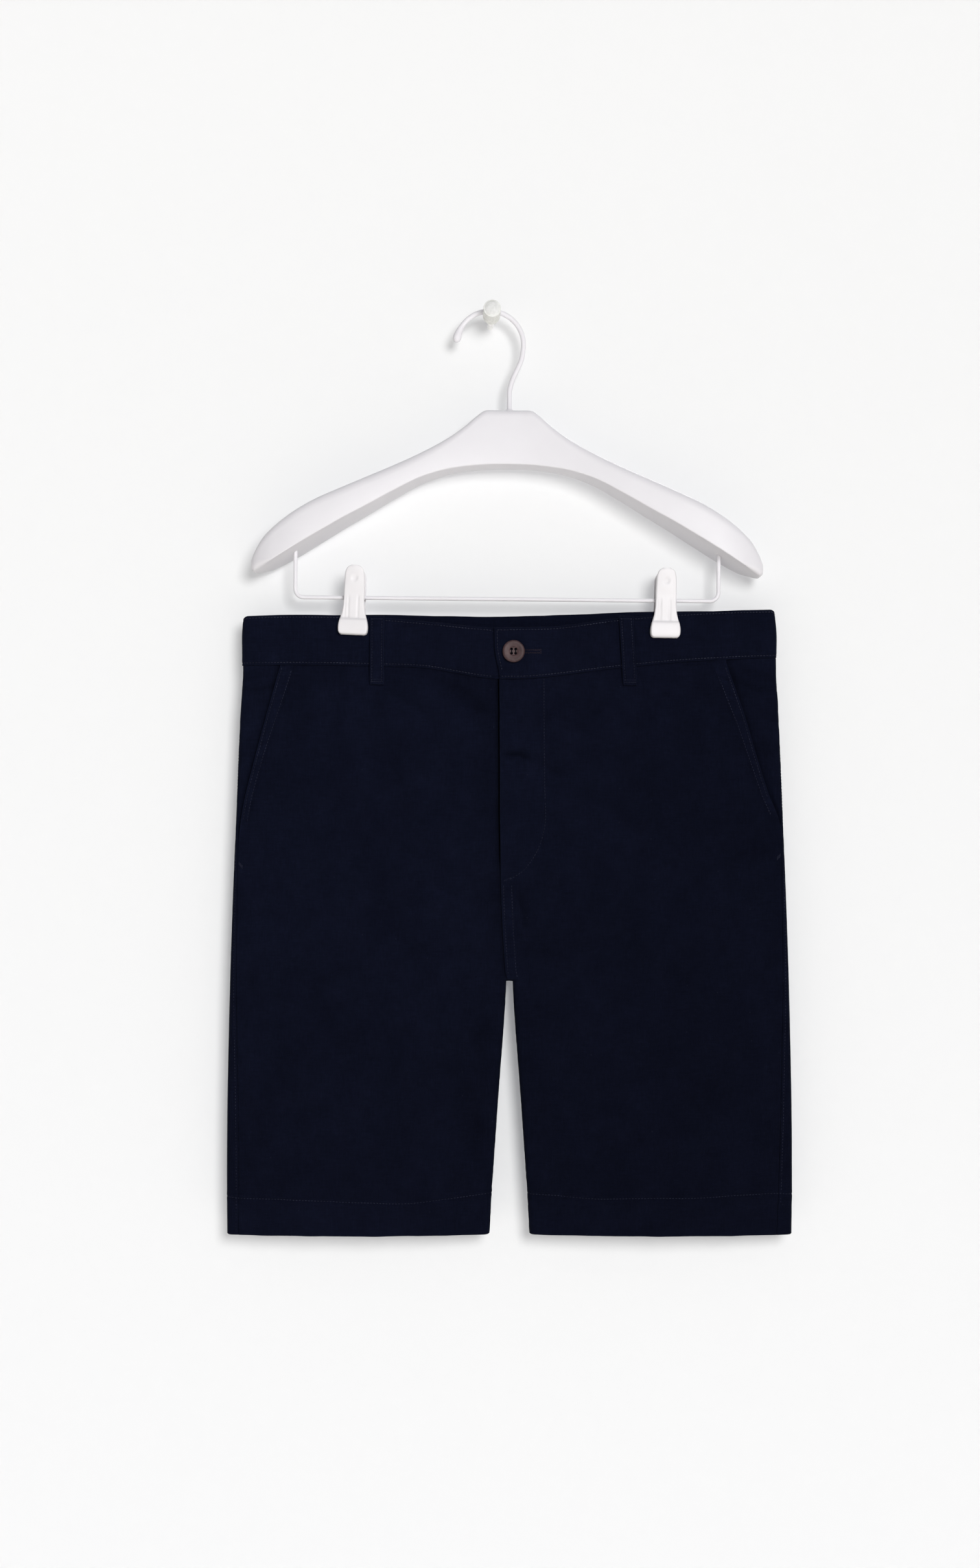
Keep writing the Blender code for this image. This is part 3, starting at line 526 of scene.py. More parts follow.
def loft(name, rings, material, sharp):
    """A solid through rings of points, capped at each end with a fan."""
    rings = np.asarray(rings, float)
    count, around = rings.shape[:2]
    points = rings.reshape(-1, 3).tolist()
    faces = []
    for low in range(0, (count - 1) * around, around):
        high = low + around
        for n in range(around):
            m = (n + 1) % around
            faces.append((low + n, low + m, high + m, high + n))
    for ring, turn in ((0, False), (count - 1, True)):
        points.append(rings[ring].mean(0).tolist())
        centre = len(points) - 1
        for n in range(around):
            a, b = ring * around + n, ring * around + (n + 1) % around
            faces.append((a, b, centre) if turn else (b, a, centre))
    obj = mesh_object(name, points, faces, material, sharp)
    turn_outwards(obj)
    return obj


def turn_outwards(obj):
    """Turns every face round if the closed mesh is inside out."""
    mesh = obj.data
    mesh.calc_loop_triangles()
    points = np.empty(len(mesh.vertices) * 3)
    mesh.vertices.foreach_get("co", points)
    corners = np.empty(len(mesh.loop_triangles) * 3, int)
    mesh.loop_triangles.foreach_get("vertices", corners)
    points = points.reshape(-1, 3)
    if np.linalg.det((points - points.mean(0))[corners.reshape(-1, 3)]).sum() < 0:
        mesh.flip_normals()


def rod(name, path, radii, material, around):
    """A round rod along a polyline."""
    path = np.asarray(path, float)
    radii = np.broadcast_to(np.asarray(radii, float), (len(path),))
    tangent = np.gradient(path, axis=0)
    tangent /= np.linalg.norm(tangent, axis=1)[:, None]
    side = np.cross(tangent[0], (0.0, 1.0, 0.0))
    if np.linalg.norm(side) < 0.2:
        side = np.cross(tangent[0], (1.0, 0.0, 0.0))
    rings = []
    for point, along, radius in zip(path, tangent, radii):
        side = side - along * np.dot(side, along)
        side /= np.linalg.norm(side)
        up = np.cross(along, side)
        turn = 2 * math.pi * np.arange(around) / around
        rings.append(point + radius * (np.cos(turn)[:, None] * side + np.sin(turn)[:, None] * up))
    return loft(name, rings, material, 60.0)


def lengths_along(points):
    """The length along a polyline at each of its points."""
    return np.concatenate([[0.0], np.cumsum(np.linalg.norm(np.diff(points, axis=0), axis=1))])


def smooth_path(points, count):
    """Points spread evenly on a smooth curve through the given ones."""
    points = np.asarray(points, float)
    steps = lengths_along(points)
    Row = namedtuple("Row", "s v")
    at = np.linspace(0.0, steps[-1], count)
    tracks = [curve([Row(*row) for row in zip(steps, values)], "s", "v") for values in points.T]
    return np.stack([track(at) for track in tracks], axis=-1)


# ================================================================ cloth in detail
def cloth(x, z, sign, proud=0.0, lift=0.0):
    """Points and outward normals of the cloth's outer face. sign is -1 on the front and 1 on the back."""
    x, z, sign = np.broadcast_arrays(np.asarray(x, float), np.asarray(z, float), np.asarray(sign, float))
    lift = np.asarray(lift(x, z) if callable(lift) else lift, float)

    def depth(px, pz):
        front = half_depth(px, pz, "front", proud)
        back = half_depth(px, pz, "back", proud)
        return np.maximum(np.where(sign < 0, front, back) + lift, SEAM)

    h = 0.25
    here = depth(x, z)
    slope_x = (depth(x + h, z) - depth(x - h, z)) / (2 * h)
    slope_z = (depth(x, z + h) - depth(x, z - h)) / (2 * h)
    normal = np.stack([-slope_x, sign, -slope_z], axis=-1)
    normal /= np.linalg.norm(normal, axis=-1)[..., None]
    return np.stack([GARMENT_X + x, MID_Y + sign * here, z], axis=-1), normal


def rolled(d, radius):
    """How far a soft edge drops at the distance d in from it."""
    return -radius * (1.0 - rounding(d, radius))


def stitched(d, depth=0.24, width=0.75):
    """The cloth drawn in under a row of stitches at the distance d from it, and puffed up beside it."""
    return -depth * bell(d, width) + 0.3 * depth * bell(np.abs(d) - 2.3, 1.5)


def puckered(along, across, pitch, width, height, seed):
    return height * waves(along, pitch, seed) * bell(across, width)


def distance_to(line, x, z):
    """Distance from each place to a polyline of (x, z)."""
    best = np.full(np.shape(x), np.inf)
    for (x0, z0), (x1, z1) in zip(line, line[1:]):
        length = math.hypot(x1 - x0, z1 - z0)
        t = np.clip(((x - x0) * (x1 - x0) + (z - z0) * (z1 - z0)) / length**2, 0.0, 1.0)
        best = np.minimum(best, np.hypot(x - (x0 + t * (x1 - x0)), z - (z0 + t * (z1 - z0))))
    return best


def dense(line):
    """More points on a smooth curve through a polyline of (x, z)."""
    points = np.array([(x, 0.0, z) for x, z in line], float)
    length = np.linalg.norm(np.diff(points, axis=0), axis=1).sum()
    return smooth_path(points, max(3, int(length / 2.0)))[:, (0, 2)]


STITCH_PITCH = 2.55
STITCH_SHAPE = ((-1.0, 0.30, -0.20), (-0.55, 0.92, 0.02), (0.55, 0.92, 0.02), (1.0, 0.30, -0.20))
THREAD = 0.27  # radius
THREAD_SIDES = 5
sewn = {}  # piece name: points and faces of its stitches


def sew(piece, x, z, sign, proud=0.0, lift=0.0, pitch=STITCH_PITCH, raise_by=0.0, length=0.74, thread=THREAD):
    """Adds a row of stitches along places on the cloth."""
    places, normals = cloth(np.asarray(x, float), np.asarray(z, float), sign, proud, lift)
    places = places + normals * np.broadcast_to(raise_by, len(places))[:, None]
    steps = lengths_along(places)
    count = int(steps[-1] / pitch)
    points, faces = sewn.setdefault(piece, ([], []))
    for n in range(count):
        ends = []
        for s in ((n + 0.5 - length / 2) * pitch, (n + 0.5 + length / 2) * pitch):
            ends.append(np.array([np.interp(s, steps, places[:, k]) for k in range(3)]))
        normal = np.array([np.interp((n + 0.5) * pitch, steps, normals[:, k]) for k in range(3)])
        normal /= np.linalg.norm(normal)
        middle, along = (ends[0] + ends[1]) / 2, (ends[1] - ends[0]) / 2
        if np.linalg.norm(along) < 0.2:
            continue
        side = np.cross(along / np.linalg.norm(along), normal)
        middle = middle + side * 0.07 * math.sin(n * 2.4 + len(points))
        along = along + side * 0.10 * math.sin(n * 1.7 + 0.5)
        base = len(points)
        for t, share, up in STITCH_SHAPE:
            for k in range(THREAD_SIDES):
                turn = 2 * math.pi * k / THREAD_SIDES + 0.3
                offset = side * math.cos(turn) + normal * math.sin(turn) * 0.8
                points.append(middle + along * t + normal * up + offset * thread * share)
        for ring in range(len(STITCH_SHAPE) - 1):
            low = base + ring * THREAD_SIDES
            high = low + THREAD_SIDES
            for k in range(THREAD_SIDES):
                m = (k + 1) % THREAD_SIDES
                faces.append((low + k, low + m, high + m, high + k))
        faces.append(tuple(base + k for k in reversed(range(THREAD_SIDES))))
        faces.append(tuple(high + k for k in range(THREAD_SIDES)))


# Distances from a free or sewn edge where the cloth has its own row or column of points.
NEAR = np.array([0.0, 0.06, 0.16, 0.32, 0.55, 0.85, 1.2, 1.6, 2.0, 2.45, 3.0, 3.7, 4.6, 5.7])
ROLL = 0.75  # radius of a rolled or folded edge
FAR_OFF = 50.0  # stands for any distance too great to matter
ROUNDS = 4  # a row's height depends on where it ends, and the other way round
HALF_GAP = 0.05  # half the space at a seam down the middle


def spread(start, end, count):
    return np.linspace(start, end, count)


def panel_levels():
    """Heights of a panel's rows from the waistband to the hem, before they bend to follow its edges."""
    parts = [PANEL_TOP_Z - NEAR, np.arange(-299.0, CROTCH_Z + 12.0, -2.25)]
    near_crotch = CROTCH_Z + np.array([10.2, 8.2, 6.4, 5.0, 4.0, 3.2, 2.5, 1.8, 1.2, 0.7, 0.35, 0.12, 0.0])
    parts += [near_crotch, CROTCH_Z - np.array([0.2, 0.8, 1.6, 2.8, 4.4, 6.4])]
    parts += [np.arange(CROTCH_Z - 8.6, -721.0, -2.3)]
    parts += [np.array([-722.6, -723.8, -724.8, -725.4, -726.0, -726.6, -727.2, -728.2, -729.6])]
    parts += [np.arange(-731.6, HEM_Z + 6.5, -2.1), HEM_Z + NEAR[::-1]]
    return np.concatenate(parts)


# The row of stitches that holds the hem, round the front of each leg.
HEM_ROW = (
    (-233.0, -725.6),
    (-220.7, -726.4),
    (-169.7, -727.3),
    (-121.3, -729.1),
    (-86.5, -730.0),
    (-53.8, -727.0),
    (-16.1, -722.7),
    (0.0, -722.9),
    (16.9, -723.2),
    (72.2, -726.2),
    (110.7, -725.4),
    (149.3, -725.4),
    (216.8, -722.5),
    (233.0, -723.6),
)
Point = namedtuple("Point", "x z")
HEM_AT = curve([Point(*row) for row in HEM_ROW], "x", "z")


def panel_height(x, level, top):
    """The height of a row at x: the first rows follow the waistband's seam, some others the hem's stitches."""
    seam = (top(x) - PANEL_TOP_Z) * (1.0 - smooth((PANEL_TOP_Z - level) / 60.0))
    hem = (HEM_AT(x) - HEM_ROW_Z) * bell(level - HEM_ROW_Z, 11.0)
    return level + seam + hem


def start_x(side, level, face):
    """Where a panel begins beside the middle of the body, or the inseam, at each of its rows."""
    if face == "front":
        gap = FLY_GAP * smooth((level - FLY_BOTTOM_Z - 4.0) / 30.0)
        body = FLY_AT(level) + HALF_GAP if side == "left" else HALF_GAP + gap - FLY_AT(level)
    else:
        body = np.full(level.shape, HALF_GAP)
    return np.where(level >= CROTCH_Z - 0.01, body, LEVEL["inseam"](level))


NEAR_START = np.concatenate([NEAR, np.arange(6.9, 41.0, 1.25)])
NEAR_END = np.concatenate([NEAR, np.arange(6.9, 27.0, 1.3)])


def front_top(x):
    return WAIST_AT["seam"](x) - 0.1


def back_low(x):
    """The lower edge of the waistband across the back."""
    straight = WAIST_AT["back_top"](x) - BAND_HEIGHT
    return mix(straight, WAIST_AT["seam"](x), smooth((np.abs(x) - 200.0) / 18.0))


def back_top(x):
    return back_low(x) - 0.1


def from_start(side, level, face):
    """Columns of a panel beside its middle edge or inseam: distances from the centre line, rows by columns."""
    start = start_x(side, level, face)[:, None]
    open_ = smooth((level - CROTCH_Z) / 10.0)[:, None]
    folded = along_fold(NEAR_START[None, :], FOLD)
    return start + mix(folded, np.broadcast_to(NEAR_START[None, :], folded.shape), open_)


def front_grid(side):
    sign = SIGN[side]
    level = panel_levels()
    near = from_start(side, level, "front")
    pocket_end = POCKETS[side][-1].z

    def outer_arc(z):
        seam = side_seam(side, z)
        cut = np.where(z > pocket_end, np.minimum(OPENING[side](z), seam), seam)
        return arc(edge_at(z) - cut, FOLD) + SEAM

    z = level[:, None] + np.zeros((1, len(NEAR_END)))
    for _ in range(ROUNDS):
        far = edge_at(z) - along_fold(outer_arc(z) + NEAR_END[None, ::-1], FOLD)
        z = panel_height(sign * far, level[:, None], front_top)
    count = 44
    share = spread(0.0, 1.0, count + 2)[1:-1][None, :]
    middle = mix(near[:, -1:], far[:, :1], share)
    x = sign * np.concatenate([near, middle, far], axis=1)
    z = panel_height(x, level[:, None], front_top)
    from_edge = np.concatenate([NEAR_START, np.full(count + len(NEAR_END), FAR_OFF)])
    to_edge = np.concatenate([np.full(len(NEAR_START) + count, FAR_OFF), NEAR_END[::-1]])
    return x, z, level[:, None], from_edge[None, :], to_edge[None, :]


def back_grid(side):
    sign = SIGN[side]
    level = panel_levels()
    near = from_start(side, level, "back")[:, ::-1]
    z = level[:, None] + np.zeros((1, len(NEAR_END)))
    for _ in range(ROUNDS):
        seam_arc = arc(LEVEL["roll_" + side](z), FOLD) - SEAM
        s = -seam_arc + NEAR_END[None, :]
        far = edge_at(z) - along_fold(np.abs(s), FOLD)
        z = panel_height(sign * far, level[:, None], back_top)
    count = 46
    share = spread(0.0, 1.0, count + 2)[1:-1][None, :]
    middle = mix(far[:, -1:], near[:, :1], share)
    x = sign * np.concatenate([far, middle, near], axis=1)
    z = panel_height(x, level[:, None], back_top)
    facing = np.ones(x.shape)
    facing[:, : len(NEAR_END)] = np.where(s < 0, -1.0, 1.0)
    to_edge = np.concatenate([NEAR_END, np.full(count + len(NEAR_START), FAR_OFF)])
    from_edge = np.concatenate([np.full(len(NEAR_END) + count, FAR_OFF), NEAR_START[::-1]])
    return x, z, level[:, None], facing, from_edge[None, :], to_edge[None, :]


def hem_thickness(z):
    return mix(HEM_CLOTH, CLOTH, smooth((z - (HEM_AT(0.0) - 1.5)) / 1.6))


# ================================================================ materials
class Nodes:
    """A node material, built up by short calls. Inputs are other nodes' outputs or plain values."""

    def __init__(self, name):
        self.material = bpy.data.materials.new(name)
        self.material.use_nodes = True
        self.tree = self.material.node_tree
        self.shader = self.tree.nodes["Principled BSDF"]
        self.out = self.tree.nodes["Material Output"]
        self.place = self.tree.nodes.new("ShaderNodeTexCoord").outputs["Object"]

    def put(self, socket, value):
        if isinstance(value, bpy.types.NodeSocket):
            self.tree.links.new(value, socket)
        elif value is not None:
            socket.default_value = value

    def set(self, **values):
        for name, value in values.items():
            self.put(self.shader.inputs[name.replace("_", " ")], value)
        return self

    def math(self, operation, a, b=None, clamp=False):
        node = self.tree.nodes.new("ShaderNodeMath")
        node.operation, node.use_clamp = operation, clamp
        self.put(node.inputs[0], a)
        if b is not None:
            self.put(node.inputs[1], b)
        return node.outputs[0]

    def scaled(self, x, y=None, z=None, move=(0.0, 0.0, 0.0)):
        """Object coordinates times (x, y, z), in cycles a metre, or times x alike."""
        node = self.tree.nodes.new("ShaderNodeMapping")
        self.put(node.inputs["Vector"], self.place)
        node.inputs["Scale"].default_value = (x, y or x, z or x)
        node.inputs["Location"].default_value = move
        return node.outputs[0]

    def noise(self, vector, detail, roughness):
        node = self.tree.nodes.new("ShaderNodeTexNoise")
        self.put(node.inputs["Vector"], vector)
        node.inputs["Scale"].default_value = 1.0
        node.inputs["Detail"].default_value = detail
        node.inputs["Roughness"].default_value = roughness
        return node.outputs[0]

    def wave(self, direction, pitch, distortion=0.0):
        """Ridges across x or z at a pitch in millimetres."""
        node = self.tree.nodes.new("ShaderNodeTexWave")
        node.wave_type, node.bands_direction, node.wave_profile = "BANDS", direction, "SIN"
        self.put(node.inputs["Vector"], self.place)
        node.inputs["Scale"].default_value = 1000.0 * math.pi / (10.0 * pitch)
        node.inputs["Distortion"].default_value = distortion
        node.inputs["Detail"].default_value = 1.0
        return node.outputs["Fac"]

    def painted_light_slope(self):
        """Painted light and shade: a broad, slow change of tone over the whole garment, brighter towards the
        upper left and darker towards the lower right.
        """
        split = self.tree.nodes.new("ShaderNodeSeparateXYZ")
        self.put(split.inputs[0], self.place)
        across = self.math("MULTIPLY", split.outputs[0], -1.55)
        up = self.math("MULTIPLY", self.math("ADD", split.outputs[2], 0.52), 0.95)
        share = self.math("ADD", self.math("ADD", across, up), 0.495, clamp=True)
        return self.ramp(share, (0.0, (0.70, 0.70, 0.72)), (1.0, (1.05, 1.06, 1.04)))

    def ramp(self, factor, *stops):
        """Stops are (position, colour)."""
        node = self.tree.nodes.new("ShaderNodeValToRGB")
        self.put(node.inputs[0], factor)
        elements = node.color_ramp.elements
        for n, (position, colour) in enumerate(stops):
            element = elements[n] if n < 2 else elements.new(position)
            element.position = position
            element.color = (*colour, 1.0)
        return node.outputs[0]

    def blend(self, factor, a, b, kind="MIX"):
        node = self.tree.nodes.new("ShaderNodeMix")
        node.data_type, node.blend_type = "RGBA", kind
        self.put(node.inputs[0], factor)
        self.put(node.inputs[6], (*a, 1.0) if isinstance(a, tuple) else a)
        self.put(node.inputs[7], (*b, 1.0) if isinstance(b, tuple) else b)
        return node.outputs[2]

    def times(self, a, b):
        return self.blend(1.0, a, b, "MULTIPLY")

    def bump(self, height, strength, distance, under=None):
        node = self.tree.nodes.new("ShaderNodeBump")
        self.put(node.inputs["Height"], height)
        node.inputs["Strength"].default_value = strength
        node.inputs["Distance"].default_value = distance
        if under is not None:
            self.put(node.inputs["Normal"], under)
        return node.outputs[0]

    def flat(self):
        """x and z of the cloth's plane, as a vector."""
        split = self.tree.nodes.new("ShaderNodeSeparateXYZ")
        join = self.tree.nodes.new("ShaderNodeCombineXYZ")
        self.put(split.inputs[0], self.place)
        self.put(join.inputs[0], split.outputs[0])
        self.put(join.inputs[1], split.outputs[2])
        return join.outputs[0]

    def attribute(self, name):
        node = self.tree.nodes.new("ShaderNodeAttribute")
        node.attribute_name = name
        return node.outputs["Fac"]

    def specks(self, per_metre, size, share):
        """Tiny spots, at most one in each cell of the cloth: 1 inside a spot."""
        node = self.tree.nodes.new("ShaderNodeTexVoronoi")
        node.voronoi_dimensions, node.feature = "2D", "F1"
        self.put(node.inputs["Vector"], self.flat())
        node.inputs["Scale"].default_value = per_metre
        split = self.tree.nodes.new("ShaderNodeSeparateColor")
        self.put(split.inputs[0], node.outputs["Color"])
        near = self.math("LESS_THAN", node.outputs["Distance"], size * per_metre)
        chosen = self.math("LESS_THAN", split.outputs[0], share)
        return self.math("MULTIPLY", near, chosen)


NAVY = (0.00249, 0.00337, 0.00950)  # the cotton's middle colour


def shade(colour, times):
    return tuple(channel * times for channel in colour)


def cotton(name, light=1.0):
    """Slubby navy cotton: uneven warp and weft threads, faint faded patches, a few specks of lint, rubbed
    edges, and painted light and shade over the whole garment and along its creases, seams and gaps.
    """
    n = Nodes(name)
    navy = shade(NAVY, light)
    warp = n.noise(n.scaled(1500, 60, 85), 1.5, 0.5)
    weft = n.noise(n.scaled(85, 60, 1500, move=(3.1, 0.0, 7.7)), 1.5, 0.5)
    slub = n.math("ADD", n.math("MULTIPLY", warp, 0.5), n.math("MULTIPLY", weft, 0.5))
    tone = n.ramp(slub, (0.30, shade(navy, 0.80)), (0.50, navy), (0.70, shade(navy, 1.24)))
    cloud = n.noise(n.scaled(16), 4.0, 0.62)
    faded = n.ramp(cloud, (0.30, (0.86, 0.86, 0.87)), (0.70, (1.13, 1.13, 1.12)))
    tone = n.times(tone, faded)
    patch = n.noise(n.scaled(62, move=(9.0, 2.0, 4.0)), 3.0, 0.6)
    tone = n.times(tone, n.ramp(patch, (0.32, (0.90, 0.90, 0.91)), (0.68, (1.10, 1.10, 1.09))))
    # painted light and shade: brighter at the upper left, darker at the lower right
    tone = n.times(tone, n.painted_light_slope())
    grain = n.noise(n.scaled(520, move=(2.0, 5.0, 1.0)), 3.0, 0.65)
    tone = n.times(tone, n.ramp(grain, (0.30, (0.90, 0.90, 0.91)), (0.70, (1.10, 1.10, 1.09))))
    # the wear attribute: rubbed edges, and painted light and shade along creases, seams, gaps and folds
    tone = n.times(tone, n.math("ADD", n.attribute("wear"), 1.0))
    lint = n.math("MULTIPLY", n.specks(38.0, 0.00034, 0.16), 0.55)
    tone = n.blend(lint, tone, (0.0150, 0.0170, 0.0290))
    threads = n.math("ADD", n.wave("X", 0.62, 0.6), n.wave("Z", 0.70, 0.6))
    height = n.math("ADD", n.math("MULTIPLY", threads, 0.22), n.math("MULTIPLY", slub, 1.2))
    fine = n.bump(height, 0.35, 0.00016)
    soft = n.bump(n.noise(n.scaled(120), 3.0, 0.55), 0.12, 0.0009, fine)
    n.set(Base_Color=tone, Roughness=0.93, Normal=soft)
    n.set(Specular_IOR_Level=0.03, Sheen_Weight=0.012, Sheen_Roughness=0.45, Sheen_Tint=(0.55, 0.62, 0.85, 1.0))
    return n.material


def sewing_thread(name, low, high):
    """Matt spun thread whose rows catch more light in some places than in others."""
    n = Nodes(name)
    lit = n.noise(n.scaled(46), 2.0, 0.5)
    fine = n.noise(n.scaled(900), 1.0, 0.5)
    mixed = n.math("ADD", n.math("MULTIPLY", lit, 0.62), n.math("MULTIPLY", fine, 0.38))
    tone = n.ramp(mixed, (0.36, low), (0.50, tuple((a + b) * 0.42 for a, b in zip(low, high))), (0.64, high))
    twist = n.bump(n.noise(n.scaled(2600), 1.0, 0.5), 0.4, 0.0001)
    n.set(Base_Color=tone, Roughness=0.7, Normal=twist, Specular_IOR_Level=0.08)
    return n.material


def white_plastic(name, colour, roughness):
    """Moulded white plastic with a faint orange-peel face."""
    n = Nodes(name)
    cloud = n.noise(n.scaled(18), 3.0, 0.5)
    tone = n.ramp(cloud, (0.30, shade(colour, 0.985)), (0.70, shade(colour, 1.012)))
    peel = n.bump(n.noise(n.scaled(420), 2.0, 0.5), 0.10, 0.0002)
    wear = n.noise(n.scaled(60), 2.0, 0.6)
    rough = n.math("ADD", roughness - 0.05, n.math("MULTIPLY", wear, 0.10))
    n.set(Base_Color=tone, Roughness=rough, Normal=peel, Specular_IOR_Level=0.35)
    return n.material


def chalky(name, stem, side, face):
    """Matt painted peg, gritty and scuffed. Its stem, its ribbed side and its face have a white each: the
    stem's and the side's are paler, painted light that lifts the shade they fall in.
    """
    n = Nodes(name)
    split = n.tree.nodes.new("ShaderNodeSeparateXYZ")
    n.put(split.inputs[0], n.place)
    out = n.math("MULTIPLY", split.outputs[1], -1.0 / (PEG_LENGTH * MM))
    # paler whites on the stem and the side: painted light
    white = n.ramp(out, (0.52, stem), (0.55, side), (0.93, side), (0.98, face))
    cloud = n.noise(n.scaled(260), 5.0, 0.72)
    tone = n.times(white, n.ramp(cloud, (0.36, (0.86, 0.86, 0.85)), (0.56, (1.0, 1.0, 1.0))))
    grit = n.bump(n.noise(n.scaled(1400), 3.0, 0.6), 0.14, 0.0003)
    n.set(Base_Color=tone, Roughness=0.88, Normal=grit, Specular_IOR_Level=0.15)
    return n.material


def horn(name):
    """Brown button horn: cloudy, with a few darker streaks and a worn shine."""
    n = Nodes(name)
    cloud = n.noise(n.scaled(210, 210, 120), 4.0, 0.6)
    tone = n.ramp(
        cloud, (0.28, (0.024, 0.0115, 0.0125)), (0.50, (0.044, 0.0230, 0.0245)), (0.74, (0.068, 0.0390, 0.0400))
    )
    n.set(Base_Color=tone, Roughness=0.55, Specular_IOR_Level=0.26)
    n.set(Normal=n.bump(n.noise(n.scaled(600), 2.0, 0.5), 0.12, 0.0002))
    return n.material


def steel(name, colour=(0.55, 0.55, 0.56), roughness=0.32):
    n = Nodes(name)
    brushed = n.noise(n.scaled(2400, 300, 300), 2.0, 0.5)
    tone = n.ramp(brushed, (0.30, shade(colour, 0.85)), (0.70, shade(colour, 1.1)))
    rough = n.math("ADD", roughness - 0.06, n.math("MULTIPLY", brushed, 0.12))
    n.set(Base_Color=tone, Metallic=1.0, Roughness=rough)
    return n.material


COTTON = cotton("navy_cotton")
FACING = cotton("navy_cotton_facing", light=1.02)
BAND = cotton("navy_cotton_band", light=1.06)
UNDERSIDE = cotton("navy_cotton_inside", light=0.95)
THREAD_TONAL = sewing_thread("tonal_thread", (0.0044, 0.0054, 0.0130), (0.0160, 0.0178, 0.0345))
THREAD_PALE = sewing_thread("tonal_thread_worn", (0.0070, 0.0082, 0.0180), (0.0290, 0.0315, 0.0510))
THREAD_BROWN = sewing_thread("brown_thread", (0.0048, 0.0043, 0.0095), (0.0200, 0.0145, 0.0240))
THREAD_DARK = sewing_thread("dark_thread", (0.0022, 0.0022, 0.0040), (0.010, 0.009, 0.013))
TAPE = cotton("zip_tape_weave", light=0.8)
HANGER_WHITE = white_plastic("hanger_plastic", (0.614, 0.602, 0.630), 0.46)
WIRE_WHITE = white_plastic("coated_wire", (0.645, 0.632, 0.662), 0.60)
CLIP_WHITE = white_plastic("clip_plastic", (0.628, 0.614, 0.632), 0.46)
# the stem's and the side's whites are painted light, paler to make up for the shade on them
PEG_WHITE = chalky("wall_peg_paint", (0.93, 0.93, 0.93), (0.755, 0.760, 0.735), (0.625, 0.628, 0.625))
HORN = horn("horn_button")
SPRING = steel("spring_steel")
NICKEL = steel("zip_metal", (0.42, 0.41, 0.40), 0.38)


# ================================================================ the panels
SLANT = {}
for side in ("left", "right"):
    first, last = POCKETS[side][0], POCKETS[side][2]
    SLANT[side] = math.cos(math.atan2(abs(last.x - first.x), abs(last.z - first.z)))

FLY_STITCH = (
    (28.0, -299.6),
    (28.1, -330.0),
    (28.6, -384.0),
    (29.3, -414.5),
    (27.8, -425.6),
    (23.6, -438.9),
    (18.9, -447.4),
    (12.0, -456.5),
    (2.0, -463.4),
    (-4.8, -466.0),
)
FLY_LINE = dense(FLY_STITCH)
# How far inside the pocket's edge its second row of stitches runs.
Inset = namedtuple("Inset", "z d")
POCKET_INNER = (
    Inset(-288.0, 10.4),
    Inset(-318.0, 9.2),
    Inset(-366.0, 6.4),
    Inset(-400.0, 5.6),
    Inset(-440.0, 5.4),
)
INNER_AT = curve(POCKET_INNER, "z", "d")
OUTER_ROW = 2.1
POCKET_ROWS_TO = {"right": -418.0, "left": -412.0}
# How far other rows run from the edge beside them.
CROTCH_ROWS = (2.3, 9.0)
BACK_ROWS = (2.0, 8.0)
SIDE_ROW = {"left": 2.2, "right": 2.0}
BAND_LOW_ROW = 1.9
BAND_TOP_ROW = 2.1
BAND_END_ROW = 2.6
LOOP_ROW = 1.9


def pocket_detail(side, x, z):
    """The pocket's edge: drawn in under its two rows of stitches and puckered between them."""
    across = (OPENING[side](z) - np.abs(x)) * SLANT[side]
    last = POCKETS[side][-1].z
    fade = smooth((z - last - 2.0) / 16.0)
    inner = INNER_AT(z)
    rows = smooth((z - POCKET_ROWS_TO[side]) / 8.0)
    detail = stitched(across - OUTER_ROW, 0.20) * rows + stitched(across - inner, 0.20) * rows
    middle = (OUTER_ROW + inner) / 2
    seed = 4.0 if side == "left" else 1.0
    detail += puckered(z - 0.35 * across, across - middle, 10.5, 2.6, 0.42, seed)
    detail += 0.45 * smooth((inner + 2.5 - across) / 5.0)
    return detail * fade


def crotch_detail(side, z, from_edge):
    """The crotch seam below the fly: the left front's edge has two rows of stitches."""
    zone = smooth((FLY_BOTTOM_Z + 3.0 - z) / 6.0) * smooth((z - CROTCH_Z) / 3.0)
    if side == "right":
        return (puckered(z, from_edge, 9.0, 6.0, 0.16, 6.0) - 0.25 * bell(from_edge, 3.0)) * zone
    first, second = CROTCH_ROWS
    detail = stitched(from_edge - first, 0.18) + stitched(from_edge - second, 0.20)
    detail = detail + puckered(z, from_edge - 5.6, 8.0, 3.4, 0.16, 2.0)
    return (detail + 0.45 * (1.0 - smooth((from_edge - 8.0) / 5.0))) * zone


def panel_detail(x, z, face, from_edge, to_edge, seed):
    """Everything finer than the creases: rolled edges, drawn-in stitching and puckers, along the normal."""
    top = front_top(x) if face == "front" else back_top(x)
    below = np.maximum(top - z, 0.0)
    detail = rolled(below, 0.55) + rolled(np.maximum(z - HEM_Z, 0.0), 0.9)
    detail += rolled(to_edge, 0.6)
    detail += puckered(x, below, 11.0, 9.0, 0.20, seed)
    detail += puckered(x, below - 8.0, 26.0, 16.0, 0.22, seed + 3)
    hem = z - HEM_AT(x)
    detail += stitched(hem, 0.26)
    detail += 0.10 * smooth((3.0 - hem) / 2.0)
    detail += puckered(x + 0.4 * hem, hem + 6.0, 12.0, 9.0, 0.13, seed + 1)
    detail += puckered(x, hem + 28.0, 30.0, 14.0, 0.22, seed + 2)
    detail += puckered(z, to_edge, 13.0, 5.0, 0.14, seed + 5)
    legs = smooth((CROTCH_Z - z) / 10.0)
    return detail + puckered(z, from_edge - 3.0, 14.0, 6.0, 0.16, seed + 6) * legs
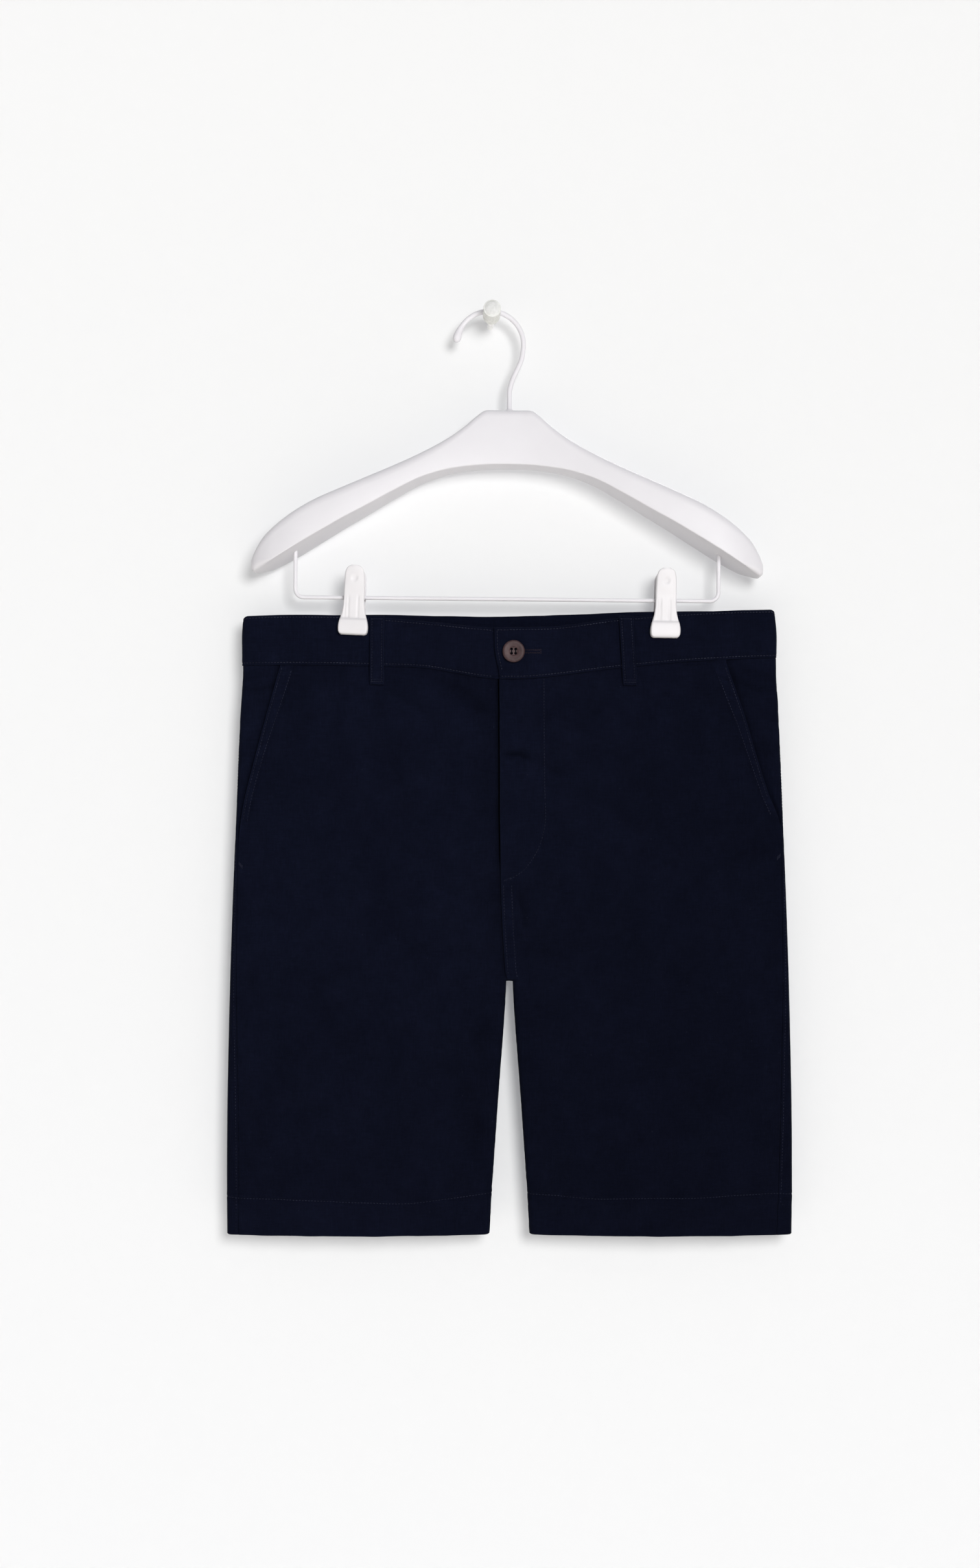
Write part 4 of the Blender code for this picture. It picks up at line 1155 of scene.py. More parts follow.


# rubbed hem and edges, and painted light and shade along creases, under the waistband, by the pocket's rows and
# beside the fly
def front_wear_and_shade(side, x, z, beside):
    wear = crease_light_and_shade(x, z, "front")
    across = (OPENING[side](z) - np.abs(x)) * SLANT[side]
    inner = INNER_AT(z)
    fade = smooth((z - POCKETS[side][-1].z - 2.0) / 16.0)
    band = smooth((inner + 0.8 - across) / 1.2)
    dashes = waves(z - 0.35 * across, 6.5, 4.0)
    wear += fade * band * (0.10 + 0.12 * dashes)
    wear += 0.16 * fade * bell(across - 0.6, 0.7)
    # painted shade just inside the inner row, where the raised pocket edge steps down
    wear -= 0.12 * fade * bell(across - inner - 1.6, 1.3)
    below = np.maximum(front_top(x) - z, 0.0)
    # painted shade under the waistband's edge
    wear -= 0.16 * bell(below, 1.6)
    wear += 0.05 * waves(x, 9.0, 2.0) * bell(below, 8.0)
    to_hem = z - HEM_Z
    wear += 0.08 * smooth((HEM_DEPTH - to_hem) / 2.0)
    wear += 0.10 * bell(to_hem, 1.2)
    body = smooth((z - CROTCH_Z) / 3.0)
    if side == "left":
        inside = smooth((FLY_STITCH[0][0] - x) / 4.0) * smooth((z - FLY_BOTTOM_Z - 6.0) / 20.0)
        wear += inside * (0.06 + 0.05 * waves(x + 0.1 * z, 9.0, 3.0) * smooth((z + 395.0) / 60.0))
        double = smooth((FLY_BOTTOM_Z + 1.0 - z) / 5.0) * smooth((9.6 - beside) / 1.0) * body
        wear += double * (0.10 + 0.09 * waves(z, 5.0, 1.0))
        wear += 0.10 * bell(beside, 0.8) * body
    else:
        # painted shade beside the fly's lapping edge, in the gap and a little way out from it
        wear -= 0.30 * bell(beside, 2.4) * body
        wear -= 0.06 * bell(beside, 14.0) * body
    return wear


def back_wear_and_shade(x, z):
    below = np.maximum(back_top(x) - z, 0.0)
    # painted light and shade along the creases, and painted shade under the waistband's edge
    wear = crease_light_and_shade(x, z, "back") - 0.16 * bell(below, 1.6)
    to_hem = z - HEM_Z
    return wear + 0.08 * smooth((HEM_DEPTH - to_hem) / 2.0) + 0.10 * bell(to_hem, 1.2)


def front_panel(side):
    x, z, level, from_edge, to_edge = front_grid(side)
    places, normals = cloth(x, z, -1.0, 0.0, fly_lift if side == "left" else fly_sink)
    detail = panel_detail(x, z, "front", from_edge, to_edge, 3.0 if side == "left" else 8.0)
    detail += pocket_detail(side, x, z)
    detail += rolled(from_edge, ROLL) * smooth((level - CROTCH_Z) / 3.0)
    detail += crotch_detail(side, z, from_edge)
    if side == "left":
        to_line = distance_to(FLY_LINE, x, z)
        detail += stitched(to_line, 0.22)
        inside = smooth((FLY_STITCH[0][0] - x) / 6.0) * smooth((z - FLY_BOTTOM_Z - 6.0) / 20.0)
        detail += puckered(z, to_line, 16.0, 7.0, 0.24, 5.0)
        detail += 0.26 * inside * waves(z + 0.5 * x, 34.0, 2.0)
    outer = places + normals * detail[..., None]
    inner = places - normals * hem_thickness(z)[..., None]
    obj = shell("front_panel_" + side, outer, inner, COTTON, wear=front_wear_and_shade(side, x, z, from_edge))
    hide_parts("front_" + side)


def back_panel(side):
    x, z, level, facing, from_edge, to_edge = back_grid(side)
    places, normals = cloth(x, z, facing)
    detail = panel_detail(x, z, "back", from_edge, to_edge, 5.0 if side == "left" else 9.0)
    body = smooth((level - CROTCH_Z) / 3.0)
    detail += rolled(from_edge, 0.5) * body
    detail += puckered(z, from_edge, 12.0, 5.0, 0.16, 3.0) * body
    if side == "left":
        detail += (stitched(from_edge - BACK_ROWS[0], 0.18) + stitched(from_edge - BACK_ROWS[1], 0.18)) * body
    outer = places + normals * detail[..., None]
    inner = places - normals * hem_thickness(z)[..., None]
    obj = shell("back_panel_" + side, outer, inner, COTTON, wear=back_wear_and_shade(x, z))
    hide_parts("back_" + side)


def facing_lift(side, x, z):
    cut = OPENING[side](z)
    seam_arc = arc(LEVEL["roll_" + side](z), FOLD) + SEAM
    seam = edge_at(z) - along_fold(seam_arc, FOLD)
    rise = np.minimum(FACING_RISE, (seam - cut - 0.5) * 0.6)
    opened = smooth((z - POCKETS[side][-1].z - 1.0) / 12.0)
    sunk = 0.8 * smooth((-300.0 - z) / 60.0) * bell(np.maximum(np.abs(x) - cut, 0.0), 3.0)
    return -UNDER * (1.0 - opened * smooth((np.abs(x) - cut - 0.5) / np.maximum(rise, 0.5))) - sunk


FACING_FOLD = ((186.0, -301.0), (204.0, -308.0), (222.0, -306.0))


def pocket_facing(side):
    """The hip piece behind the slanted opening."""
    sign = SIGN[side]
    last = POCKETS[side][-1].z - 5.0
    level = np.concatenate([PANEL_TOP_Z - NEAR, np.arange(-298.5, last + 1.0, -2.2), [last]])[:, None]
    z = level + np.zeros((1, len(NEAR)))
    for _ in range(ROUNDS):
        seam_arc = arc(LEVEL["roll_" + side](z), FOLD) + SEAM
        far = edge_at(z) - along_fold(seam_arc + NEAR[None, ::-1], FOLD)
        z = panel_height(sign * far, level, front_top)
    cut = np.minimum(OPENING[side](level), far[:, :1] - 0.6)
    hidden = cut - FACING_TUCK + spread(0.0, FACING_TUCK - 1.5, 8)[None, :]
    shown = mix(cut, far[:, :1], spread(0.0, 1.0, 30)[None, :-1])
    x = sign * np.concatenate([hidden, shown, far], axis=1)
    z = panel_height(x, level, front_top)
    to_edge = np.concatenate([np.full(hidden.shape[1] + shown.shape[1], FAR_OFF), NEAR[::-1]])[None, :]
    places, normals = cloth(x, z, -1.0, 0.0, lambda px, pz: facing_lift(side, px, pz))
    below = np.maximum(front_top(x) - z, 0.0)
    detail = rolled(below, 0.55) + rolled(to_edge, 0.6)
    detail += puckered(x, below, 9.0, 8.0, 0.16, 1.0)
    beyond = np.abs(x) - cut  # how far out from the pocket's edge
    shown_part = smooth((beyond - 3.0) / 6.0)
    slanted = z + 0.3 * np.abs(x)
    detail += 0.30 * waves(slanted, 46.0, 3.0 if side == "left" else 7.0) * shown_part
    fold = distance_to([(sign * fold_x, fold_z) for fold_x, fold_z in FACING_FOLD], x, z)
    detail -= (0.55 if side == "left" else 0.25) * bell(fold, 2.2) * shown_part
    outer = places + normals * detail[..., None]
    inner = places - normals * CLOTH
    # painted shadow along the pocket's opening, and painted shade in the fold
    wear = -0.32 * bell(np.maximum(beyond, 0.0), 2.0) - 0.20 * bell(fold, 3.0)
    wear += 0.10 * waves(slanted, 30.0, 2.0) * shown_part
    obj = shell("pocket_facing_cloth_" + side, outer, inner, FACING, wear=wear)
    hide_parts("pocket_facing_" + side)


# ================================================================ waistband
BAND_NEAR = np.array([0.0, 0.08, 0.22, 0.45, 0.8, 1.2, 1.6, 2.0, 2.4, 2.9, 3.6, 4.6])
BAND_FOLD = FOLD + BAND_PROUD
BAND_ENDS = np.concatenate([BAND_NEAR, np.arange(5.9, 40.0, 1.4)])
BAND_SIDE_TOP = {"left": -242.2, "right": -247.8}  # the band's top edge at each side of the body


def band_low(x, sign):
    return np.where(sign < 0, WAIST_AT["seam"](x), back_low(x))


def band_high(x, sign):
    return np.where(sign < 0, WAIST_AT["top"](x), WAIST_AT["back_top"](x))


def band_end(side, down):
    """Where the band begins, by the share of its height down from the top: the left end leans inwards below."""
    if side == "right":
        return np.full(np.shape(down), -BAND_UNDERLAP_X)
    return BAND_END_X + 4.2 * smooth((down - 0.35) / 0.65) - 0.4 * smooth((0.2 - down) / 0.2)


def corner_drop(x, edge):
    """The top edge rounds over softly where it turns the side."""
    return 2.2 * (1.0 - rounding(edge - np.abs(x), 4.6))


def band_fold(edge, turns):
    """Distances out from the centre line round a side, from the flat front to the flat back."""
    front = edge - BAND_FOLD * (1.0 - np.cos(math.pi / 2 - turns))
    return front, edge - BAND_FOLD * (1.0 - np.cos(turns))


def waistband(side):
    sign = SIGN[side]
    inside = np.linspace(BAND_NEAR[-1], BAND_HEIGHT - BAND_NEAR[-1], 17)[1:-1]
    nominal = np.concatenate([BAND_NEAR, inside, BAND_HEIGHT - BAND_NEAR[::-1]])[:, None]
    down = nominal / BAND_HEIGHT
    edge = edge_at(BAND_SIDE_TOP[side] - down * BAND_HEIGHT) + BAND_PROUD
    flat = edge - BAND_FOLD
    start = band_end(side, down)
    front = mix(start + BAND_ENDS[-1], flat, spread(0.0, 1.0, 84)[None, 1:])
    front = np.concatenate([start + BAND_ENDS[None, :], front], axis=1)
    fold_front, fold_back = band_fold(edge, (spread(0.0, 1.0, 8)[:-1] * math.pi / 2)[None, :])
    fold_front = fold_front[:, 1:]
    centre = HALF_GAP + BAND_NEAR[::-1][None, :] * np.ones_like(down)
    back = np.concatenate([mix(flat, 6.0, spread(0.0, 1.0, 92)[None, :]), centre], axis=1)
    x = sign * np.concatenate([front, fold_front, fold_back, back], axis=1)
    in_front = front.shape[1] + fold_front.shape[1]
    face = np.broadcast_to(np.where(np.arange(x.shape[1]) < in_front, -1.0, 1.0), x.shape)
    low, high = band_low(x, face), band_high(x, face) - corner_drop(x, edge)
    nominal = down * BAND_HEIGHT
    share = smooth((nominal - 5.0) / (BAND_HEIGHT - 10.0))
    z = mix(high - nominal, low + (BAND_HEIGHT - nominal), share)
    lift = np.where(face < 0, band_lift(x, side), 0.0)
    places, normals = cloth(x, z, face, BAND_PROUD, lift)
    from_top, from_low = high - z, z - low
    from_end = np.concatenate([BAND_ENDS, np.full(x.shape[1] - len(BAND_ENDS), FAR_OFF)])[None, :]
    from_back = np.where(face > 0, np.abs(x), FAR_OFF)
    run = np.where(face < 0, np.abs(x), 2 * edge - np.abs(x)) * sign  # the length round the band
    detail = rolled(from_top, 1.0) + rolled(from_low, 0.8) + rolled(from_back, 0.5)
    detail += stitched(from_top - BAND_TOP_ROW, 0.20)
    detail += stitched(from_low - BAND_LOW_ROW, 0.24)
    seed = 2.0 if side == "left" else 6.0
    detail += puckered(run, from_low - 4.0, 8.0, 7.0, 0.17, seed)
    detail += puckered(run, from_top - 4.0, 13.0, 6.0, 0.12, seed + 1)
    detail += 0.16 * waves(run + 0.2 * z, 52.0, seed)
    if side == "left":
        detail += rolled(from_end, 0.9)
        detail += stitched(from_end - BAND_END_ROW, 0.18)
        beside = bell(x - BUTTON_X, 22.0) * bell(z - BUTTON_Z + 9.0, 12.0)
        detail += 0.30 * beside * waves(x, 5.2, 1.0)
        detail -= 0.5 * bell(np.hypot(x - BUTTON_X, z - BUTTON_Z), 10.0)
    outer = places + normals * detail[..., None]
    inner = places - normals * BAND_CLOTH
    # paler along the top and lower edges: rubbed cloth with a painted highlight on the rolled edge
    wear = 0.12 * bell(from_top, 0.9) + 0.10 * bell(from_low, 0.8)
    wear += 0.07 * waves(run, 7.0, seed) * bell(from_low - 3.5, 5.0)
    wear += 0.04 * waves(run, 31.0, seed)
    # painted shade along the drawn-in rows of stitches
    wear -= 0.10 * bell(from_top - BAND_TOP_ROW, 1.0)
    wear -= 0.10 * bell(from_low - BAND_LOW_ROW, 1.0)
    obj = shell("waistband_cloth_" + side, outer, inner, BAND, wear=wear)
    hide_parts("waistband_" + side)


def band_path(side, from_low=None, from_top=None):
    """A row of stitches round the band at a distance from one of its edges."""
    edge = float(edge_at(BAND_SIDE_TOP[side] - (from_top or BAND_HEIGHT - from_low))) + BAND_PROUD
    flat = edge - BAND_FOLD
    first = 2.0 + (BAND_END_X + (3.4 if from_low else 0.0) if side == "left" else -BAND_END_X)
    fold_front, fold_back = band_fold(edge, spread(0.0, math.pi / 2, 7)[1:])
    front = np.concatenate([spread(first, flat, 160), fold_front])
    back = np.concatenate([fold_back, spread(flat, 3.0, 150)[1:]])
    x = SIGN[side] * np.concatenate([front, back])
    face = np.concatenate([np.full(len(front), -1.0), np.full(len(back), 1.0)])
    z = band_low(x, face) + from_low if from_low else band_high(x, face) - from_top - corner_drop(x, edge)
    return x, z, face, np.where(face < 0, band_lift(x, side), 0.0)


# ================================================================ small cloth pieces
def loop_path(loop, share, across):
    """Places on a belt loop: share is from its top end down, across from -1 to 1."""
    if loop.face == "front":
        top, seam = float(WAIST_AT["top"](loop.x)), float(WAIST_AT["seam"](loop.x))
        sign = -1.0
    else:
        top = float(WAIST_AT["back_top"](loop.x))
        seam, sign = top - BAND_HEIGHT, 1.0
    share, across = np.broadcast_arrays(np.asarray(share, float), np.asarray(across, float))
    bottom = seam - LOOP_BELOW_BAND
    z = mix(top + (0.9 if loop.face == "front" else -0.6), bottom, share)
    narrow = 1.0 - 0.035 * np.sin(math.pi * share) - 0.05 * smooth((share - 0.93) / 0.07)
    x = loop.x + loop.lean * (share - 0.5) + across * LOOP_WIDTH / 2 * narrow
    bow = LOOP_BOW * np.sin(math.pi * share) + 0.25 * waves(z, 21.0, loop.x)
    settle = BAND_PROUD * smooth((seam - z) / 10.0) * 0.5
    lift = LOOP_CLOTH + 2 * GAP + bow - settle
    return x, z, sign, lift


def belt_loop(loop):
    ends = NEAR / LOOP_LENGTH
    share = np.concatenate([ends, spread(0.115, 0.86, 26), 1.0 - ends[::-1]])[:, None]
    side = np.concatenate([NEAR[:9] / (LOOP_WIDTH / 2), spread(0.42, 1.0, 6)[:-1]])
    across = np.concatenate([side - 1.0, [0.0], 1.0 - side[::-1]])[None, :]
    x, z, sign, lift = loop_path(loop, share, across)
    places, normals = cloth(x, z, sign, BAND_PROUD, lift)
    from_side = np.broadcast_to((1.0 - np.abs(across)) * LOOP_WIDTH / 2, x.shape)
    from_end = (1.0 - share) * LOOP_LENGTH
    from_top = share * LOOP_LENGTH
    detail = rolled(from_side, 0.8) + rolled(from_end, 0.7) + rolled(from_top, 1.1)
    detail += stitched(from_side - LOOP_ROW, 0.24, 0.6)
    detail += stitched(from_end - 2.2, 0.30, 0.6)
    detail += stitched(from_end - 4.4, 0.18, 0.5)
    detail += stitched(from_top - 2.6, 0.25, 0.6)
    detail += puckered(z, from_side - LOOP_ROW, 6.0, 1.6, 0.10, loop.x)
    outer = places + normals * detail[..., None]
    inner = places - normals * LOOP_CLOTH
    # paler along the edges; painted shade along the drawn-in rows of stitches
    wear = 0.16 * bell(from_side, 0.8) - 0.14 * bell(from_side - LOOP_ROW, 0.9)
    wear += 0.08 * waves(z, 6.0, loop.x) * smooth((from_side - 2.0) / 1.5)
    obj = shell(loop.name + "_cloth", outer, inner, BAND, wear=wear)
    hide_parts(loop.name)


ZIP_TOP_Z = -303.0
ZIP_INSET = 3.0  # how far inside the fly's edge the tape and the underlap begin
TAPE_THICK = 1.0


def fly_underlap():
    level = spread(ZIP_TOP_Z, FLY_BOTTOM_Z - 2.0, 60)[:, None]
    narrow = 14.0 * smooth((-430.0 - level) / 40.0)
    x = mix(FLY_AT(level) + ZIP_INSET, UNDERLAP_X - narrow, spread(0.0, 1.0, 22)[None, :])
    z = level + np.zeros_like(x)
    places, normals = cloth(x, z, -1.0, 0.0, -(2 * CLOTH + 2 * GAP + 1.1))
    obj = shell("fly_underlap_cloth", places, places - normals * CLOTH, UNDERSIDE)
    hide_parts("fly_underlap")


def zip_tape():
    level = spread(ZIP_TOP_Z, -455.0, 80)[:, None]
    x = FLY_AT(level) + ZIP_INSET + spread(0.0, ZIP_WIDTH, 18)[None, :]
    z = level + np.zeros_like(x)
    places, normals = cloth(x, z, -1.0, 0.0, -UNDER)
    obj = shell("zip_tape_woven", places, places - normals * TAPE_THICK, TAPE)
    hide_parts("zip_tape")


# A zip tooth seen from the front, as places about its middle.
TOOTH = ((-1.4, -0.45), (-0.7, -0.6), (0.9, -0.5), (1.4, 0.0), (0.9, 0.5), (-0.7, 0.6), (-1.4, 0.45))


def zip_teeth():
    """The closed teeth down the middle of the tape, behind the fly."""
    points, faces = [], []
    level = np.arange(-306.0, -452.0, -1.5)
    middle = FLY_AT(level) + ZIP_INSET + ZIP_WIDTH / 2
    places, normals = cloth(middle, level, -1.0, 0.0, -UNDER)
    corners = len(TOOTH)
    for n, (place, normal) in enumerate(zip(places, normals)):
        side = 1 if n % 2 else -1
        centre = place + np.array((side * 0.9, 0.0, 0.0)) - normal * 1.25
        base = len(points)
        points += [centre + np.array((side * dx, dy, dz)) for dy in (-0.22, 0.22) for dx, dz in TOOTH]
        for k in range(corners):
            m = (k + 1) % corners
            faces.append((base + k, base + m, base + corners + m, base + corners + k))
        faces.append(tuple(base + k for k in reversed(range(corners))))
        faces.append(tuple(base + corners + k for k in range(corners)))
    recalc(mesh_object("zip_teeth", points, faces, NICKEL, 30.0))


def recalc(obj):
    bm = bmesh.new()
    bm.from_mesh(obj.data)
    bmesh.ops.recalc_face_normals(bm, faces=bm.faces)
    bm.to_mesh(obj.data)
    bm.free()


# The button from its middle behind, round its rim and over its dished face: shares of its radius and thickness.
BUTTON_PROFILE = (
    (0.0, 0.0), (0.45, 0.0), (0.62, 0.0), (0.80, 0.06), (0.92, 0.18), (0.985, 0.36), (1.0, 0.52), (0.99, 0.68),
    (0.965, 0.81), (0.925, 0.90), (0.88, 0.955), (0.82, 0.985), (0.76, 0.98), (0.69, 0.955), (0.62, 0.92),
    (0.55, 0.885), (0.48, 0.85), (0.43, 0.82), (0.40, 0.76), (0.375, 0.67), (0.35, 0.62), (0.28, 0.60),
    (0.14, 0.595), (0.0, 0.595),
)
BUTTON_STEPS = 72
BUTTON_SHARP = 32.0
HOLE_OUT = 2.35  # from the button's middle
HOLE_RADIUS = 1.15
HOLE_STEPS = 20


def round_the_button(turn):
    return np.array((math.cos(turn), 0.0, math.sin(turn)))


def drill(obj, hole):
    """Cuts a round hole through the button."""
    mesh = bpy.data.meshes.new("drill")
    ring = [
        (hole[0] + HOLE_RADIUS * math.cos(turn), hole[1] + y, hole[2] + HOLE_RADIUS * math.sin(turn))
        for y in (3.0, -6.0)
        for turn in [2 * math.pi * k / HOLE_STEPS for k in range(HOLE_STEPS)]
    ]
    faces = []
    for k in range(HOLE_STEPS):
        m = (k + 1) % HOLE_STEPS
        faces.append((k, m, HOLE_STEPS + m, HOLE_STEPS + k))
    faces += [tuple(range(HOLE_STEPS - 1, -1, -1)), tuple(range(HOLE_STEPS, 2 * HOLE_STEPS))]
    mesh.from_pydata([tuple(c * MM for c in point) for point in ring], [], faces)
    tool = bpy.data.objects.new("drill", mesh)
    bpy.context.scene.collection.objects.link(tool)
    recalc(tool)
    cut = obj.modifiers.new("hole", "BOOLEAN")
    cut.operation, cut.object, cut.solver = "DIFFERENCE", tool, "EXACT"
    bpy.context.view_layer.update()
    finished = bpy.data.meshes.new_from_object(obj.evaluated_get(bpy.context.evaluated_depsgraph_get()))
    obj.modifiers.clear()
    old, obj.data = obj.data, finished
    bpy.data.meshes.remove(old)
    bpy.data.objects.remove(tool)
    bpy.data.meshes.remove(mesh)


def button():
    """A turned four-hole button: a soft outer rim, a dished face and a small well for the thread."""
    place = np.array(cloth(BUTTON_X, BUTTON_Z, -1.0, BAND_PROUD, LAP_LIFT + 2 * GAP - 0.2)[0])
    points, faces, rings = [], [], []
    for radius, out in BUTTON_PROFILE:
        turns = [2 * math.pi * n / BUTTON_STEPS for n in range(BUTTON_STEPS if radius else 1)]
        rings.append(range(len(points), len(points) + len(turns)))
        behind = np.array((0.0, -out * BUTTON_THICK, 0.0))
        points += [place + round_the_button(turn) * radius * BUTTON_RADIUS + behind for turn in turns]
    for low, high in zip(rings, rings[1:]):
        for n in range(BUTTON_STEPS):
            m = (n + 1) % BUTTON_STEPS
            face = [low[n % len(low)], low[m % len(low)], high[m % len(high)], high[n % len(high)]]
            faces.append(tuple(dict.fromkeys(face)))
    obj = mesh_object("horn_button", points, faces, HORN, BUTTON_SHARP)
    recalc(obj)
    for n in range(4):
        drill(obj, place + round_the_button(math.pi / 4 + n * math.pi / 2) * HOLE_OUT)
    obj.data.shade_smooth()
    obj.data.set_sharp_from_angle(angle=math.radians(BUTTON_SHARP))
    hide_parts("button")
    # the thread that holds it: short bars across the well, down through the holes
    well = -BUTTON_THICK * 0.60
    for n, tilt in enumerate((-1.0, 1.0)):
        for letter, k in (("a", -0.25), ("b", 0.25)):
            half = ((-0.6, 1.70), (well, 1.45), (well - 0.30, 0.8))
            bar = (*half, (well - 0.36, 0.0), *((y, -z) for y, z in reversed(half)))
            path = smooth_path(np.array([(1.66 * tilt + k, y, z) for y, z in bar]) + place, 14)
            rod(f"button_thread_{n}_{letter}", path, 0.24, THREAD_DARK, 7)
    shank = smooth_path(np.array([(0.0, 0.3, 0.0), (0.0, 1.2, 0.1), (0.0, 2.4, 0.0)]) + place, 6)
    rod("button_shank", shank, 0.9, THREAD_DARK, 10)


def all_stitching():
    """Every row of topstitching, sewn on to the piece it holds."""
    for side in ("left", "right"):
        sign = SIGN[side]
        band = "waistband_" + side
        for from_low, from_top in ((BAND_LOW_ROW, None), (None, BAND_TOP_ROW)):
            x, z, face, lift = band_path(side, from_low, from_top)
            sew(band, x, z, face, BAND_PROUD, lift, raise_by=-0.10)
        # pocket edge: two rows and the tack under its lower end
        last = POCKETS[side][-1].z
        z = np.arange(-290.0, last + (18.0 if side == "right" else 22.0), -1.5)
        x = sign * (OPENING[side](z) - OUTER_ROW / SLANT[side])
        sew("front_" + side, x, z, -1.0, raise_by=pocket_detail(side, x, z) + 0.14)
        z = np.arange(-292.5, POCKET_ROWS_TO[side] - 2.0, -1.5)
        x = sign * (OPENING[side](z) - INNER_AT(z) / SLANT[side])
        sew("front_" + side, x, z, -1.0, raise_by=pocket_detail(side, x, z) + 0.08)
        tack = -450.0 if side == "right" else -443.0
        seam = float(edge_at(tack) - LEVEL["roll_" + side](tack))
        for n in range(5):
            x = sign * (seam - np.array([1.0, 4.4]))
            z = np.array([tack - 0.55 * n, tack - 3.6 - 0.55 * n])
            sew("front_" + side, x, z, -1.0, pitch=1.2, raise_by=0.02)
        # hem, round both faces of the leg
        inner_x = float(LEVEL["inseam"](HEM_ROW_Z))
        edge = float(edge_at(HEM_ROW_Z))
        for face in (-1.0, 1.0):
            s = spread(0.3, FOLD * math.pi / 2, 6)
            start = inner_x + along_fold(s, FOLD)
            end = edge - along_fold(s[::-1], FOLD)
            x = sign * np.concatenate([start, spread(start[-1], end[0], 90)[1:-1], end])
            piece = ("front_" if face < 0 else "back_") + side
            sew(piece, x, HEM_AT(x), face, raise_by=-0.12)
        # side seam: a row on the back panel, beside the seam
        z = np.arange(-300.0, HEM_Z + 1.5, -2.0)
        s = arc(LEVEL["roll_" + side](z), FOLD) - SIDE_ROW[side]
        x = sign * (edge_at(z) - along_fold(np.abs(s), FOLD))
        sew("back_" + side, x, z, np.where(s > 0, -1.0, 1.0), raise_by=-0.06)
    # the fly's curved row, its tack and the buttonhole
    fly = FLY_LINE
    sew("front_left", fly[:, 0], fly[:, 1], -1.0, 0.0, fly_lift(fly[:, 0], fly[:, 1]), raise_by=-0.08)
    for n in range(7):
        x = np.array([-6.4, 1.6]) + 0.05 * n
        z = np.array([-467.4, -463.6]) + 0.42 * (n - 3)
        sew("front_left", x, z, -1.0, 0.0, fly_lift(x, z), pitch=1.4, raise_by=0.02)
    z = np.arange(FLY_BOTTOM_Z - 3.0, CROTCH_Z + 1.5, -1.5)
    for inset in CROTCH_ROWS:
        x = FLY_AT(z) + inset
        sew("front_left", x, z, -1.0, raise_by=0.30)
    # the middle of the back
    z = np.arange(PANEL_TOP_Z, CROTCH_Z + 3.0, -1.5)
    for inset in BACK_ROWS:
        sew("back_left", inset + HALF_GAP + 0 * z, z, 1.0, raise_by=-0.08)
    # the waistband's free end
    z = np.arange(-260.6, -295.5, -1.2)
    x = band_end("left", (BAND_END_TOP_Z - z) / BAND_HEIGHT) + BAND_END_ROW
    sew("waistband_left", x, z, -1.0, BAND_PROUD, band_lift(x, "left"), raise_by=-0.08)
    for loop in LOOPS:
        for across in (-0.68, 0.68):
            share = spread(0.03, 0.965, 60)
            x, z, sign, lift = loop_path(loop, share, across)
            sew(loop.name, x, z, sign, BAND_PROUD, lift, raise_by=-0.10, pitch=2.3)
        for share in (0.962, 0.955, 0.925):
            x, z, sign, lift = loop_path(loop, share, spread(-0.86, 0.86, 9))
            sew(loop.name, x, z, sign, BAND_PROUD, lift, pitch=1.25, raise_by=-0.02, thread=0.24)
        x, z, sign, lift = loop_path(loop, 0.046, spread(-0.86, 0.86, 9))
        sew(loop.name, x, z, sign, BAND_PROUD, lift, pitch=1.25, raise_by=-0.02)


def buttonhole():
    """Two close rows of purl stitches that run out from under the button, joined at the far end."""

    def purl(x, z, middle, **how):
        lift = band_lift(np.array([middle, middle]), "left")
        sew("buttonhole", x, z, -1.0, BAND_PROUD, lift, thread=0.23, **how)

    reach = BUTTON_X + np.arange(4.0, 21.5, 0.62)
    for n, x in enumerate(reach):
        for up in (-1.0, 1.0):
            wobble = 0.12 * math.sin(n * 1.9 + up)
            z = np.array([BUTTON_Z + 0.3 + up * 0.45, BUTTON_Z + 0.3 + up * 2.05])
            purl(np.array([x + wobble, x - wobble]), z, x, pitch=1.5, length=1.0, raise_by=0.04)
    end = reach[-1] + 0.7
    z = np.array([BUTTON_Z - 1.8, BUTTON_Z + 2.4])
    for shift in (0.0, 0.5):
        purl(np.full(2, end) + shift, z, end, pitch=1.4, length=0.95, raise_by=0.06)


def lay_stitching():
    for name, (points, faces) in sewn.items():
        if name == "buttonhole":
            mesh_object("buttonhole_stitches", points, faces, THREAD_BROWN, 80.0)
        else:
            thread = THREAD_PALE if name.startswith("waistband") else THREAD_TONAL
            mesh_object("stitching_" + name, points, faces, thread, 80.0)


# ================================================================ hanger and peg
def hung(points):
    """Points of the level hanger, turned about the peg to its tilt. x is from the hanger's centre."""
    points = np.array(points, float).reshape(-1, 3)
    x, z = GARMENT_X + points[:, 0], points[:, 2]
    c, s = math.cos(HANGER_TILT), math.sin(HANGER_TILT)
    return np.stack([c * x + s * z, points[:, 1], -s * x + c * z], axis=-1)


def rounded_outline(corners, radii, steps=5):
    """A polygon of (y, z) with each corner rounded by its own radius."""
    corners = np.asarray(corners, float)
    out = []
    count = len(corners)
    for n in range(count):
        here, before, after = corners[n], corners[n - 1], corners[(n + 1) % count]
        a, b = before - here, after - here
        la, lb = np.linalg.norm(a), np.linalg.norm(b)
        reach = min(radii[n], la * 0.48, lb * 0.48)
        start, end = here + a / la * reach, here + b / lb * reach
        for t in spread(0.0, 1.0, steps):
            out.append((1 - t) ** 2 * start + 2 * t * (1 - t) * here + t**2 * end)
    return np.array(out)


